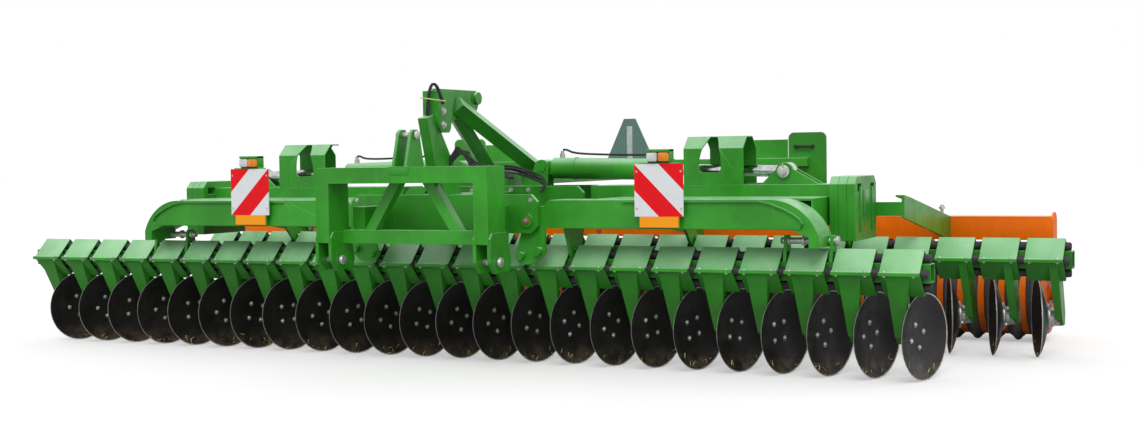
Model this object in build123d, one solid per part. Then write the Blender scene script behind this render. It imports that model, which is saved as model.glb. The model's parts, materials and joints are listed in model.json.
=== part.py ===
from build123d import *
import os
from math import sqrt

# Folding disc harrow. Millimetres, X across the machine, Y towards its back, Z up from the floor.
# Lengths along Y are measured from the front discs' axis, and origin_shift moves the finished
# pieces so that Y = 0 is halfway between the headstock and the rear boards.

# Machine
headstock_reach = 795
carrier_reach = 2345
origin_shift = (headstock_reach - carrier_reach) / 2
running_clearance = 10
pin_clearance = 0.4

# Discs
discs_per_row = 24
disc_pitch = 250
row_spacing = 1125
row_offset = 187.5
disc_radius = 230
disc_dish = 46
disc_plate = 7
disc_flat_radius = 85
disc_sides = 20
attack_angle = 17
hub_radius = 50
hub_flange_radius = 80
hub_sides = 8

# Row beams, clamps and arms
beam_side = 100
beam_wall = 8
beam_back = 116
beam_height = 570
beam_overrun = 40
clamp_reach = 122
clamp_wall = 9
clamp_length = 210
clamp_shift = 76.5
clamp_lip = 12
clamp_lip_height = 20
arm_thickness = 34
arm_shift = 132
arm_foot_drop = 40
cord_sides = 8
cord_play = 0.3

# Wing pivots
pivot_x = 551.6
pivot_z = 840
pivot_pin_radius = 30
pivot_pin_head = 12
pivot_eye_radius = 78
hinge_plate = 45

# Wing girder
girder_front = -310
girder_depth = 230
girder_inner = 640
girder_bottom = 795
girder_top = 952
girder_chamfer = 26
girder_arc_start = 1930
girder_end = 2218
foot_width = 55
foot_bottom = 702
foot_slope = 90
bracket_bottom = 596
bracket_width = 96
bracket_boss_radius = 24
bracket_boss_reach = 36
bracket_bosses = ((495, 640), (608, 668))
deck_plate = 12
deck_inner = 850

# Wing main beam
main_beam_front = 285
main_beam_back = 520
main_beam_bottom = 800
main_beam_top = 1018
main_beam_inner = 650
main_beam_end = 2120
end_plate = 12

# Folding cylinder
cylinder_y = 402
cylinder_base_x = 290
cylinder_base_z = 1125
rod_eye_x = 1820
rod_eye_z = 1090
barrel_radius = 63
barrel_length = 840
barrel_start = 68
barrel_bore_start = 190
rod_radius = 33
rod_play = 0.4
eye_radius = 50
eye_width = 60
eye_bore_radius = 25
ear_plate = 14
ear_play = 6
collar_length = 16
collar_height = 4

# Cylinder guard
guard_inner = 1240
guard_outer = 1600
guard_plate = 8
guard_shoulder = 1225
guard_ridge = 1294
guard_slope = 70
window_inset_share = 23 / 90
window_width_share = 67 / 180

# Weights
weight_plates = 3
weight_thickness = 48
weight_front = 170
weight_back = 600
weight_bottom = 712
weight_top = 1062
weight_corner = 42
hand_slot = (95, 170)
seat_play = 0.3

# Row carriers
row_pin_radius = 17
row_pin_z = 730
row_pin_overhang = 32
hanger_plate = 18
front_hanger_x = 740
row_pin_x = 1990
rear_hanger_x = (1010, 2020)

# Roller
roller_y = 1920
roller_radius = 290
drum_radius = 243
drum_wall = 20
ring_pitch = 125
rings_per_side = 24
ring_width = 84
ring_sides = 14
roller_inner = 28
shaft_radius = 38
shaft_length = 44
frame_tube = 145
frame_tube_z = 705
frame_tube_y = 1850
frame_tube_inner = 20
side_plate = 14
end_crown = 26
scraper_width = 30
scraper_plate = 14
scraper_reach = 45
scraper_tip = 60
scraper_tip_gap = 12

# Roller arms
arm_plate = 16
arm_inner_x = 764
arm_outer_x = 2420
arm_link = 60
arm_flange = 34
arm_flange_plate = 10

# Marker boards and lamps
board_side = 282
board_x = 1350.5
board_z = 1006
board_y = -353
board_plate = 6
board_rim = 6
reflector_height = 58
reflector_half = 112
lamp_half = 66
lamp_height = 72
lamp_depth = 60

# Headstock
post_outer = 552
post_width = 88
post_depth = 195
portal_top = 1150
portal_beam = 88
clevis_plate = 20
clevis_gap = 68
clevis_bottom = 572
clevis_top = 790
link_pin_radius = 18.3
link_pin_setback = 95
link_pin_y = link_pin_setback - headstock_reach
link_pin_z = 631
top_ear_plate = 18
top_ear_gap = 60
top_pin_radius = 15.9
top_pin_setback = 105
top_pin_y = top_pin_setback - headstock_reach
top_pin_z = 1325

# Centre frame
cross_beam = 75
cross_beam_z = 760
brace_side = 60
brace_foot = 300
brace_head = 50
spine_half = 150
spine_bottom = 800
bulkhead_gap = 8
bulkhead_plate = 27
bulkhead_half = 617
bulkhead_bottom = 768
bulkhead_top = 985
bulkhead_corner = 40
rear_plate_gap = 8
rear_box_half = 322
rear_box_bottom = 850

# Tower
column_width = 62
column_lean = 110
column_knee_share = 3 / 11
head_front = -450
head_depth = 170
head_corner = 20
head_plate = 24
head_top = 1590
head_boss_y = 60
head_boss_drop = 45
head_boss_z = head_top - head_boss_drop
head_boss_radius = 45
lug_width = 16
lug_height = 250
lug_bottom = head_top - lug_height
strut_side = 78
strut_drop = 90
strut_top = (20, -190, head_top - strut_drop)
strut_foot = (176, 560, 1098)
strut_seat = 70

# Rear lights and boards
carrier_bar = 60
carrier_half = 1350
carrier_bar_z = 1125
carrier_arm = 80
rear_plate = 10
rear_board_inset = 15
rear_board_width = 270
rear_board_height = 400
rear_board_corner = 40
rear_board_lift = 5
lamp_plate_inner = 915
lamp_plate_outer = 1195
lamp_plate_height = 158
slow_plate_foot = 200
slow_plate_head = 45
slow_plate_height = 330

os.makedirs("parts", exist_ok=True)


def write(name, *shapes):
    """Write one piece, moved to the machine's own origin."""
    shape = shapes[0] if len(shapes) == 1 else Compound(children=list(shapes))
    export_step(Pos(0, origin_shift, 0) * shape, "parts/" + name + ".step")


def block(x, y, z):
    """A box between two X, two Y and two Z values."""
    size = [max(pair) - min(pair) for pair in (x, y, z)]
    middle = [(pair[0] + pair[1]) / 2 for pair in (x, y, z)]
    return Pos(*middle) * Box(*size)


def along_x(points, start, end):
    """A Y, Z outline extruded from one X to another."""
    face = Plane.YZ * make_face(Polyline(*points, close=True))
    return Pos(min(start, end), 0, 0) * extrude(face, abs(end - start), dir=(1, 0, 0))


def along_y(outline, start, end):
    """An X, Z outline extruded from one Y to another."""
    plane = Plane(origin=(0, start, 0), x_dir=(1, 0, 0), z_dir=(0, -1, 0))
    return extrude(plane * make_face(outline), end - start, dir=(0, 1, 0))


def rod_x(radius, start, end, y, z):
    """A round bar along X."""
    return Pos((start + end) / 2, y, z) * Rot(0, 90, 0) * Cylinder(radius, abs(end - start))


def rod_y(radius, start, end, x, z):
    """A round bar along Y."""
    return Pos(x, (start + end) / 2, z) * Rot(90, 0, 0) * Cylinder(radius, abs(end - start))


def bar_between(start, end, width, height, turn=0):
    """A rectangular bar from one point to another, turned about its own length."""
    path = Line(start, end)
    plane = Plane(origin=start, x_dir=Vector(0, 0, 1).cross(path % 0), z_dir=path % 0)
    return extrude(plane * Rot(0, 0, turn) * Rectangle(width, height), path.length)


def corners(radius, sides, height):
    """The corners of a regular outline about Z, at one height."""
    return [Vector(radius, 0, height).rotate(Axis.Z, 360 * number / sides) for number in range(sides)]


def faceted(outlines, looped=False):
    """A solid with flat sides from each outline to the next, all with as many corners.

    Its ends are closed by the first and last outline, or looped leads from the last to the first."""
    pairs = list(zip(outlines, outlines[1:]))
    faces = []
    if looped:
        pairs.append((outlines[-1], outlines[0]))
    else:
        faces = [Face(Wire.make_polygon(outlines[end])) for end in (0, -1)]
    for low, high in pairs:
        for number in range(len(low)):
            before = number - 1
            faces.append(Face(Wire.make_polygon([low[before], low[number], high[number], high[before]])))
    return Solid(Shell(faces))


def mirror_to(shape, side):
    """The shape as drawn for the right wing, or its mirror image for the left."""
    return shape if side > 0 else mirror(shape, about=Plane.YZ)


def nearest(values, wanted):
    """The value closest to the wanted one."""
    return min(values, key=lambda value: abs(value - wanted))


# Discs, hubs, arms and rows

def disc_table(side):
    """Each disc of a wing: its X, its row's Y and the hand of its clamp."""
    rows = [
        # row Y, hand
        (0, -1),
        (row_spacing, 1),
    ]
    table = []
    for row_y, hand in rows:
        for number in range(discs_per_row // 2):
            table.append((side * (number + 0.5) * disc_pitch + hand * row_offset, row_y, hand))
    return table


def clamp_centres(side, row_y):
    """The X of each clamp's middle, in a wing's row."""
    return sorted(x + hand * clamp_shift for x, y, hand in disc_table(side) if y == row_y)


def row_ends(side, row_y):
    """The X of the inner and outer end of a wing's row beam."""
    centres = sorted(clamp_centres(side, row_y), key=lambda x: side * x)
    margin = disc_pitch / 2 - running_clearance
    return centres[0] - side * margin, centres[-1] + side * (clamp_length / 2 + beam_overrun)


def row_gaps(side, row_y):
    """The X in the middle of each gap between two clamps."""
    centres = clamp_centres(side, row_y)
    return [(low + high) / 2 for low, high in zip(centres, centres[1:])]


def disc():
    """A dished disc about Z, its rim at Z = 0 and its hollow side up."""
    return faceted([
        corners(disc_flat_radius, disc_sides, -disc_dish - disc_plate),
        corners(disc_radius, disc_sides, 0),
        corners(disc_flat_radius, disc_sides, -disc_dish),
    ])


def hub(hand):
    """The bearing housing between a disc's bulging side and the face of its arm."""
    seat = disc_dish + disc_plate
    face = arm_shift - arm_thickness / 2
    bell = faceted([corners(hub_flange_radius, hub_sides, -seat),
                    corners(hub_radius, hub_sides, -face - hub_radius)])
    beyond = block((hand * face, hand * (face + disc_radius)), (-disc_radius, disc_radius),
                   (-disc_radius, disc_radius))
    return disc_turn(hand) * bell - beyond


def disc_turn(hand):
    """Turn from the disc's own axis to its place on a row."""
    return Rot(0, 0, hand * attack_angle) * Rot(0, -90 * hand, 0)


def diamond(reach, length):
    """A square bar on its edge along X."""
    return along_x([(-reach, 0), (0, reach), (reach, 0), (0, -reach)], -length / 2, length / 2)


def clamp_and_arm(hand):
    """The split housing round the row beam and the arm cast to it, about the disc's centre."""
    room = clamp_room()
    housing = diamond(clamp_reach, clamp_length)
    for turn in (-1, 1):
        housing += block((-clamp_length / 2, clamp_length / 2),
                         (turn * (clamp_reach - clamp_lip), turn * (clamp_reach + clamp_lip)),
                         (-clamp_lip_height / 2, clamp_lip_height / 2))
    housing -= diamond(room, 2 * clamp_length)
    top = beam_height - disc_radius
    housing = Pos(hand * clamp_shift, -beam_back, top) * housing
    front = -beam_back - clamp_reach / 2
    under = top - clamp_reach / 2
    hub_y = arm_shift * 0.29
    outline = [
        (front - 30, under + 30),
        (hub_y - hub_radius - 10, -10),
        (hub_y - hub_radius / 2, -arm_foot_drop - 6),
        (hub_y + hub_radius / 2, -arm_foot_drop - 6),
        (hub_y + hub_radius - 6, 20),
        (-beam_back + clamp_reach / 2 + 18, under + 18),
        (-beam_back, top - clamp_reach),
    ]
    middle = hand * arm_shift
    arm = along_x(outline, middle - arm_thickness / 2, middle + arm_thickness / 2)
    core = Pos(0, -beam_back, top) * diamond(room, 4 * clamp_length)
    return housing + (arm - core)


def row_beam(side, row_y):
    """The square tube that carries a row."""
    inner, outer = row_ends(side, row_y)
    half = beam_side / 2
    hollow = half - beam_wall
    y, z = row_y - beam_back, beam_height
    tube = block((inner, outer), (y - half, y + half), (z - half, z + half))
    return tube - block((inner - side, outer + side), (y - hollow, y + hollow), (z - hollow, z + hollow))


def clamp_room():
    """The half-diagonal of the hollow in a clamp."""
    return clamp_reach - clamp_wall * sqrt(2)


def cord_radius():
    """The radius of a cord that fills the corner between a clamp and the beam's face."""
    corner = clamp_room() - beam_side / 2
    return corner / (1 + sqrt(2)) - cord_play


def row_cords(side, row_y):
    """The rubber cords in the four corners between a row's clamps and its beam."""
    inner, outer = row_ends(side, row_y)
    start = inner + side * running_clearance
    end = outer - side * running_clearance
    seat = beam_side / 2 + cord_radius() + cord_play
    section = RegularPolygon(cord_radius(), cord_sides, major_radius=False, rotation=180 / cord_sides)
    cord = Rot(0, 90, 0) * extrude(section, end - start)
    return [Pos(start, row_y - beam_back + y * seat, beam_height + z * seat) * cord
            for y, z in [(0, 1), (0, -1), (1, 0), (-1, 0)]]


# Wing frame

def hinge_eye(start, end, reach):
    """A rounded plate with the bore for the wing's pivot pin, drawn for the right wing."""
    plate = rod_y(pivot_eye_radius, start, end, pivot_x, pivot_z)
    plate += block((pivot_x, reach), (start, end), (girder_bottom, pivot_z + pivot_eye_radius))
    return plate - rod_y(pivot_pin_radius + pin_clearance, start - 1, end + 1, pivot_x, pivot_z)


def row_stop():
    """The plate with two bosses under the front pivot, drawn for the right wing."""
    low, high = bracket_bosses
    edge = 1.6 * bracket_boss_radius
    outline = Polyline((low[0] - edge, low[1] + 10), (pivot_x - bracket_width / 2, girder_bottom),
                       (pivot_x + bracket_width, girder_bottom), (high[0] + edge, high[1]))
    outline += ThreePointArc((high[0] + edge, high[1]), (high[0] - 10, bracket_bottom + 14),
                             (low[0], bracket_bottom))
    outline += ThreePointArc((low[0], bracket_bottom), (low[0] - edge * 0.8, bracket_bottom + 18),
                             (low[0] - edge, low[1] + 10))
    plate = along_y(outline, girder_front, girder_front + end_plate)
    front, back = girder_front - bracket_boss_reach, girder_front + hinge_plate
    for x, z in bracket_bosses:
        plate += rod_y(bracket_boss_radius, front, back, x, z)
    return plate


def wing_girder(side):
    """The front box of a wing, curved down to its foot, with the deck behind it."""
    foot_inner = girder_end - foot_width
    back = girder_front + girder_depth
    rise = (girder_top - foot_bottom) * 0.72
    outline = Polyline((girder_arc_start, girder_top), (girder_inner + girder_chamfer, girder_top),
                       (girder_inner, girder_top - girder_chamfer), (girder_inner, girder_bottom),
                       (foot_inner - foot_slope, girder_bottom), (foot_inner, foot_bottom + foot_width),
                       (foot_inner, foot_bottom), (girder_end, foot_bottom),
                       (girder_end, foot_bottom + foot_width))
    outline += ThreePointArc((girder_end, foot_bottom + foot_width),
                             (girder_arc_start + (girder_end - girder_arc_start) * 0.72, foot_bottom + rise),
                             (girder_arc_start, girder_top))
    box = along_y(outline, girder_front, back)
    deck_end = main_beam_end
    deck = block((deck_inner, deck_end), (back, main_beam_front), (girder_top - deck_plate, girder_top))
    wall = block((deck_end - deck_plate, deck_end), (back, main_beam_front), (girder_bottom, girder_top))
    eye = hinge_eye(girder_front, girder_front + hinge_plate, girder_inner) + row_stop()
    pin_bore = rod_x(row_pin_radius + pin_clearance, foot_inner - 1, girder_end + 1, -beam_back, row_pin_z)
    return mirror_to(box + deck + wall + eye - pin_bore, side)


def wing_main_beam(side):
    """The box beam under the cylinder, with its two hinge plates and its end plate."""
    box = block((main_beam_inner, main_beam_end), (main_beam_front, main_beam_back),
                (main_beam_bottom, main_beam_top))
    front = hinge_eye(main_beam_front, main_beam_front + hinge_plate, main_beam_inner)
    back = hinge_eye(main_beam_back - hinge_plate, main_beam_back, main_beam_inner)
    plate = block((main_beam_end, main_beam_end + end_plate), (main_beam_front, weight_back + arm_link),
                  (main_beam_bottom, main_beam_top))
    return mirror_to(box + front + back + plate, side)


def cylinder_guard(side):
    """The bridge over the cylinder and the two ears that take its rod eye."""
    front, back = main_beam_front, main_beam_back
    outer = [(front, main_beam_top), (front, guard_shoulder), (front + guard_slope, guard_ridge),
             (back - guard_slope, guard_ridge), (back, guard_shoulder), (back, main_beam_top)]
    middle = (front + back) / 2
    inner = [(y + (guard_plate if y < middle else -guard_plate), z if z == main_beam_top else z - guard_plate)
             for y, z in outer]
    bridge = along_x(outer, guard_inner, guard_outer) - along_x(inner, guard_inner - 1, guard_outer + 1)
    guard_length = guard_outer - guard_inner
    start = guard_inner + guard_length * window_inset_share
    bridge -= block((start, start + guard_length * window_width_share),
                    (front - 1, front + guard_slope * 0.7),
                    (main_beam_top + 70, guard_ridge))
    ears = []
    for turn in (-1, 1):
        near = cylinder_y + turn * (eye_width / 2 + ear_play)
        far = near + turn * ear_plate
        outline = Polyline((guard_outer, main_beam_top), (guard_outer, main_beam_top + 8),
                           (rod_eye_x - 2.6 * eye_radius, main_beam_top + 8),
                           (rod_eye_x - eye_radius, rod_eye_z + 12))
        outline += ThreePointArc((rod_eye_x - eye_radius, rod_eye_z + 12),
                                 (rod_eye_x, rod_eye_z + eye_radius),
                                 (rod_eye_x + eye_radius, rod_eye_z + 12))
        outline += Polyline((rod_eye_x + eye_radius, rod_eye_z + 12),
                            (rod_eye_x + 4 * eye_radius, main_beam_top), (guard_outer, main_beam_top))
        ear = along_y(outline, min(near, far), max(near, far))
        ears.append(ear + rod_y(eye_bore_radius, near, far + turn * 20, rod_eye_x, rod_eye_z))
    return [mirror_to(piece, side) for piece in [bridge] + ears]


def row_carriers(side):
    """The hangers between a wing's frame and its two row beams."""
    beam_top = beam_height + beam_side / 2
    half = hanger_plate / 2
    foot = beam_side / 2 + 2
    front_y = -beam_back
    rear_y = row_spacing - beam_back
    front_gaps = row_gaps(side, 0)
    rear_gaps = row_gaps(side, row_spacing)
    first = nearest(front_gaps, side * row_pin_x)
    second = first + side * disc_pitch
    eye_top = row_pin_z + row_pin_radius + 12
    pin = rod_x(row_pin_radius, first - side * row_pin_overhang, second + side * row_pin_overhang, front_y,
                row_pin_z)
    for x in (first, second):
        pin += along_x([(front_y - foot, beam_top), (front_y - 26, eye_top), (front_y + 26, eye_top),
                        (front_y + foot, beam_top)], x - half, x + half)
    pieces = [pin]
    x = nearest(front_gaps, side * front_hanger_x)
    pieces.append(along_x([(front_y - foot, beam_top), (girder_front + 60, girder_bottom),
                           (front_y + 110, girder_bottom), (front_y + foot, beam_top)], x - half, x + half))
    for wanted in rear_hanger_x:
        x = nearest(rear_gaps, side * wanted)
        pieces.append(along_x([(main_beam_back, main_beam_bottom), (main_beam_back, main_beam_top - 50),
                               (main_beam_back + 70, main_beam_top - 60), (rear_y + foot, beam_top + 70),
                               (rear_y + foot, beam_top), (rear_y - foot, beam_top),
                               (rear_y - 3 * foot, main_beam_bottom - 70)], x - half, x + half))
    room = cord_radius() + 2
    inner, outer = min(front_gaps + rear_gaps) - disc_pitch, max(front_gaps + rear_gaps) + disc_pitch
    for y in (front_y, rear_y):
        slot = block((inner, outer), (y - room, y + room), (beam_top - 1, beam_top + 2 * room))
        pieces = [piece - slot for piece in pieces]
    return pieces


def weights(side):
    """Ballast plates at the wing's end, each with two hand slots near its top."""
    plates = []
    middle = (weight_front + weight_back) / 2
    outline = [(weight_front, weight_bottom), (weight_front, weight_top - weight_corner),
               (weight_front + weight_corner, weight_top), (weight_back - weight_corner, weight_top),
               (weight_back, weight_top - weight_corner), (weight_back, weight_bottom)]
    for number in range(weight_plates):
        start = main_beam_end + end_plate + number * (weight_thickness + seat_play)
        plate = along_x(outline, start, start + weight_thickness)
        for turn in (-1, 1):
            plate -= block((start - 1, start + weight_thickness + 1),
                           (middle + turn * hand_slot[0], middle + turn * hand_slot[1]),
                           (weight_top - 85, weight_top - 42))
        plates.append(mirror_to(plate, side))
    return plates


def marker_board(side):
    """The warning board and the reflector under it."""
    half = board_side / 2
    board = block((board_x - half, board_x + half), (board_y, board_y + board_plate),
                  (board_z - half, board_z + half))
    top = board_z - half - seat_play
    reflector = block((board_x - reflector_half, board_x + reflector_half), (board_y, board_y + board_plate),
                      (top - reflector_height, top))
    return [mirror_to(board, side), mirror_to(reflector, side)]


def board_bracket(side):
    """The backing plate of a board and its stem to the girder."""
    half = board_side / 2
    face = board_y + board_plate
    low = board_z - half - reflector_height - board_rim
    backing = block((board_x - reflector_half - board_rim, board_x + reflector_half + board_rim),
                    (face, face + board_plate), (low, board_z + half + board_rim))
    stem = block((board_x - 40, board_x + 40), (face + board_plate, girder_front),
                 (girder_bottom + 20, girder_top - 20))
    return mirror_to(backing + stem, side)


def marker_lamp(side):
    """The position and turn lamp above a board."""
    low = board_z + board_side / 2 + board_rim
    case = block((board_x - lamp_half, board_x + lamp_half), (board_y - lamp_depth / 3, board_y + lamp_depth),
                 (low, low + lamp_height))
    return mirror_to(case.chamfer(8, None, case.edges().filter_by(Axis.Y)), side)


# Roller

def ring():
    """One wedge ring about the Z axis."""
    half = ring_width / 2
    return faceted([corners(drum_radius, ring_sides, -half), corners(roller_radius, ring_sides, 0),
                    corners(drum_radius, ring_sides, half)], looped=True)


def roller_rings(side):
    """The rings of one wing's roller."""
    wedge = Rot(0, 90, 0) * ring()
    first = (ring_pitch + roller_inner) / 2
    return [Pos(side * (first + number * ring_pitch), roller_y, roller_radius) * wedge
            for number in range(rings_per_side)]


def roller_end():
    """The distance of a drum's outer end from the machine's middle."""
    return roller_inner / 2 + rings_per_side * ring_pitch


def roller_drum(side):
    """The drum, open at the machine's middle, and its outer shaft end."""
    inner, outer = roller_inner, roller_end()
    section = RegularPolygon(drum_radius - seat_play, ring_sides)
    hollow = RegularPolygon(drum_radius - seat_play - drum_wall, ring_sides)
    drum = extrude(section, outer - inner) - extrude(hollow, outer - inner - drum_wall)
    drum = Pos(inner, roller_y, roller_radius) * Rot(0, 90, 0) * drum
    return mirror_to(drum + rod_x(shaft_radius, outer, outer + shaft_length, roller_y, roller_radius), side)


def roller_frame(side):
    """The square tube over a roller and the end plate with the roller's bearing."""
    half = frame_tube / 2
    plate_x = roller_end() + shaft_length - side_plate
    tube = block((frame_tube_inner, plate_x), (frame_tube_y - half, frame_tube_y + half),
                 (frame_tube_z - half, frame_tube_z + half))
    boss = 2 * shaft_radius
    back, top = frame_tube_y + half, frame_tube_z + half
    outline = Polyline((back, top - end_crown), (back, frame_tube_z - half),
                       (roller_y + boss, roller_radius - shaft_radius),
                       (roller_y + shaft_radius, roller_radius - boss),
                       (roller_y - shaft_radius, roller_radius - boss),
                       (roller_y - boss, roller_radius - shaft_radius),
                       (back - frame_tube, frame_tube_z - half), (back - frame_tube, top - end_crown))
    outline += ThreePointArc((back - frame_tube, top - end_crown), (frame_tube_y, top + end_crown),
                             (back, top - end_crown))
    face = Plane.YZ * make_face(outline)
    outer = plate_x + side_plate
    plate = Pos(plate_x, 0, 0) * extrude(face, side_plate, dir=(1, 0, 0))
    plate -= rod_x(shaft_radius + pin_clearance, plate_x - 1, outer + 1, roller_y, roller_radius)
    return mirror_to(tube + plate, side)


def scrapers(side):
    """One scraper leg between each two rings, hung behind the tube."""
    half = frame_tube / 2
    back = frame_tube_y + half
    bend = (drum_radius + scraper_reach) * sqrt(0.5)
    tip_y = roller_y + drum_radius + scraper_tip_gap
    tip_z = roller_radius + scraper_tip
    outline = [(back, frame_tube_z - half), (back, frame_tube_z + 10),
               (back + scraper_plate, frame_tube_z + 10),
               (roller_y + bend + scraper_plate, roller_radius + bend + scraper_plate / 2),
               (tip_y + scraper_plate, tip_z), (tip_y, tip_z), (roller_y + bend, roller_radius + bend)]
    legs = []
    for number in range(rings_per_side - 1):
        x = side * (roller_inner / 2 + (number + 1) * ring_pitch)
        legs.append(along_x(outline, x - scraper_width / 2, x + scraper_width / 2))
    return legs


def roller_arms(side):
    """The two arms that carry a roller from the wing's frame."""
    half = frame_tube / 2
    front = frame_tube_y - half - seat_play
    low, high = main_beam_bottom + 20, main_beam_top - 70
    arms = []
    for x, start in ((arm_inner_x, main_beam_back), (arm_outer_x, weight_back)):
        crown = [(start, high), (start + 160, high - 20), (front, frame_tube_z + half)]
        web = along_x([(start, low)] + crown + [(front, frame_tube_z - half)], x, x + arm_plate)
        under = [(y, z - arm_flange_plate) for y, z in reversed(crown)]
        arms.append(web + along_x(crown + under, x - arm_flange, x))
    arms[1] += block((main_beam_end + end_plate, arm_outer_x),
                     (weight_back + seat_play, weight_back + arm_link), (low + 10, high - 40))
    return [mirror_to(arm, side) for arm in arms]


# Cylinders

def cylinder_place():
    """Place of the base pin, with Z along the cylinder."""
    toward = (rod_eye_x - cylinder_base_x, 0, rod_eye_z - cylinder_base_z)
    return Plane(origin=(cylinder_base_x, cylinder_y, cylinder_base_z), x_dir=(0, 1, 0), z_dir=toward)


def cylinder_length():
    """The distance between the cylinder's two pins."""
    run = rod_eye_x - cylinder_base_x
    drop = cylinder_base_z - rod_eye_z
    return sqrt(run * run + drop * drop)


def eye(distance):
    """A lug across the cylinder's axis."""
    return Pos(0, 0, distance) * Rot(0, 90, 0) * Cylinder(eye_radius, eye_width)


def eye_bore(distance):
    """The hole through a lug."""
    return Pos(0, 0, distance) * Rot(0, 90, 0) * Cylinder(eye_bore_radius + pin_clearance, 2 * eye_width)


def along_axis(radius, start, end):
    """A round bar along the cylinder's own axis."""
    return Pos(0, 0, (start + end) / 2) * Cylinder(radius, end - start)


def cylinder_barrel(side):
    """The barrel with its base eye and collar."""
    neck = Pos(0, 0, barrel_start / 2) * Box(eye_width, 1.6 * eye_radius, barrel_start)
    body = eye(0) + neck + along_axis(barrel_radius, barrel_start, barrel_length)
    body += along_axis(barrel_radius + collar_height, 3 * barrel_start, 3 * barrel_start + collar_length)
    body -= along_axis(rod_radius + rod_play, barrel_bore_start, barrel_length + 1)
    return mirror_to(cylinder_place() * (body - eye_bore(0)), side)


def cylinder_rod(side):
    """The rod with its eye."""
    length = cylinder_length()
    body = along_axis(rod_radius, 0.9 * barrel_length, length - eye_radius / 2) + eye(length)
    return mirror_to(cylinder_place() * (body - eye_bore(length)), side)


# Centre

def headstock():
    """The portal with its link clevises and the two ears for the top link."""
    front = -headstock_reach
    back = front + post_depth
    inner = post_outer - post_width
    portal = block((-post_outer, post_outer), (front, back), (portal_top - portal_beam, portal_top))
    nose = [(front + 4, clevis_top - 30), (front + 4, clevis_bottom + 60), (front + 60, clevis_bottom),
            (back + 20, clevis_bottom + 4), (back + 40, clevis_bottom + 60), (back, clevis_top),
            (front + 30, clevis_top)]
    ear = [(front + 5, portal_top), (top_pin_y - 45, top_pin_z + 5), (top_pin_y - 22, top_pin_z + 30),
           (top_pin_y + 22, top_pin_z + 30), (top_pin_y + 45, top_pin_z + 5), (back - 5, portal_top)]
    for side in (-1, 1):
        portal += block((side * inner, side * post_outer), (front, back), (clevis_top - 60, portal_top))
        middle = side * (post_outer - post_width / 2)
        for turn in (-1, 1):
            near = middle + turn * clevis_gap / 2
            portal += along_x(nose, near, near + turn * clevis_plate)
        portal -= rod_x(link_pin_radius + pin_clearance, middle - post_width, middle + post_width, link_pin_y,
                        link_pin_z)
        near = side * top_ear_gap / 2
        portal += along_x(ear, near, near + side * top_ear_plate)
    return portal - rod_x(top_pin_radius + pin_clearance, -top_ear_gap, top_ear_gap, top_pin_y, top_pin_z)


def cross_plate(start, end, top):
    """A plate across the machine round the two wing pivots."""
    low, corner = bulkhead_bottom, bulkhead_corner
    half = bulkhead_half
    outline = Polyline((corner - half, top), (half - corner, top), (half, top - corner),
                       (half, low + corner), (half - corner, low), (corner - half, low),
                       (-half, low + corner), (-half, top - corner), close=True)
    return along_y(outline, start, end)


def centre_frame():
    """The beams and plates between the headstock and the two wings."""
    portal_back = -headstock_reach + post_depth
    inner = post_outer - post_width
    bulkhead_back = girder_front - bulkhead_gap
    bulkhead_front = bulkhead_back - bulkhead_plate
    half = cross_beam / 2
    cross_half = post_outer - (post_width + clevis_gap) / 2 - clevis_plate
    frame = block((-cross_half, cross_half), (portal_back - cross_beam, portal_back),
                  (cross_beam_z - half, cross_beam_z + half))
    brace_y = portal_back - cross_beam / 2
    clear = block((-inner, inner), (-headstock_reach, portal_back),
                  (portal_top - portal_beam, portal_top + brace_side))
    for side in (-1, 1):
        foot = (side * brace_foot, brace_y, cross_beam_z)
        head = (side * brace_head, brace_y, portal_top)
        frame += bar_between(foot, head, brace_side, brace_side) - clear
        frame += block((side * (cross_half - 100), side * (cross_half - 20)), (portal_back, bulkhead_front),
                       (cross_beam_z - half, bulkhead_top - 60))
    frame += cross_plate(bulkhead_front, bulkhead_back, bulkhead_top)
    frame += block((-spine_half, spine_half), (bulkhead_back, main_beam_front - rear_plate_gap),
                   (spine_bottom, bulkhead_top))
    middle_back = main_beam_front - rear_plate_gap
    rear_front = main_beam_back + rear_plate_gap
    frame += cross_plate(middle_back - bulkhead_plate, middle_back, main_beam_top)
    frame += cross_plate(rear_front, rear_front + bulkhead_plate, main_beam_top)
    frame += block((-rear_box_half, rear_box_half), (middle_back, rear_front),
                   (rear_box_bottom, main_beam_top))
    lug_front = girder_front + hinge_plate + rear_plate_gap
    for side in (-1, 1):
        frame += rod_y(pivot_eye_radius - 16, lug_front, lug_front + bulkhead_plate, side * pivot_x, pivot_z)
        frame += block((side * spine_half, side * pivot_x), (lug_front, lug_front + bulkhead_plate),
                       (spine_bottom, pivot_z + pivot_eye_radius - 16))
        for turn in (-1, 1):
            near = cylinder_y + turn * (eye_width / 2 + ear_play)
            far = near + turn * ear_plate
            outline = Polyline((rear_box_half - 150, main_beam_top), (rear_box_half, main_beam_top),
                               (cylinder_base_x + eye_radius, cylinder_base_z))
            outline += ThreePointArc((cylinder_base_x + eye_radius, cylinder_base_z),
                                     (cylinder_base_x, cylinder_base_z + eye_radius),
                                     (cylinder_base_x - eye_radius, cylinder_base_z))
            outline += Line((cylinder_base_x - eye_radius, cylinder_base_z),
                            (rear_box_half - 150, main_beam_top))
            frame += mirror_to(along_y(outline, min(near, far), max(near, far)), side)
        frame += block((side * 95, side * 245), (rear_front - strut_seat, rear_front + bulkhead_plate),
                       (main_beam_top, main_beam_top + strut_seat))
    for side in (-1, 1):
        frame -= rod_y(pivot_pin_radius + pin_clearance, bulkhead_front - 1, rear_front + bulkhead_plate + 1,
                       side * pivot_x, pivot_z)
        frame -= rod_y(eye_bore_radius + pin_clearance, cylinder_y - 2 * eye_width,
                       cylinder_y + 2 * eye_width, side * cylinder_base_x, cylinder_base_z)
    return frame


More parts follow.
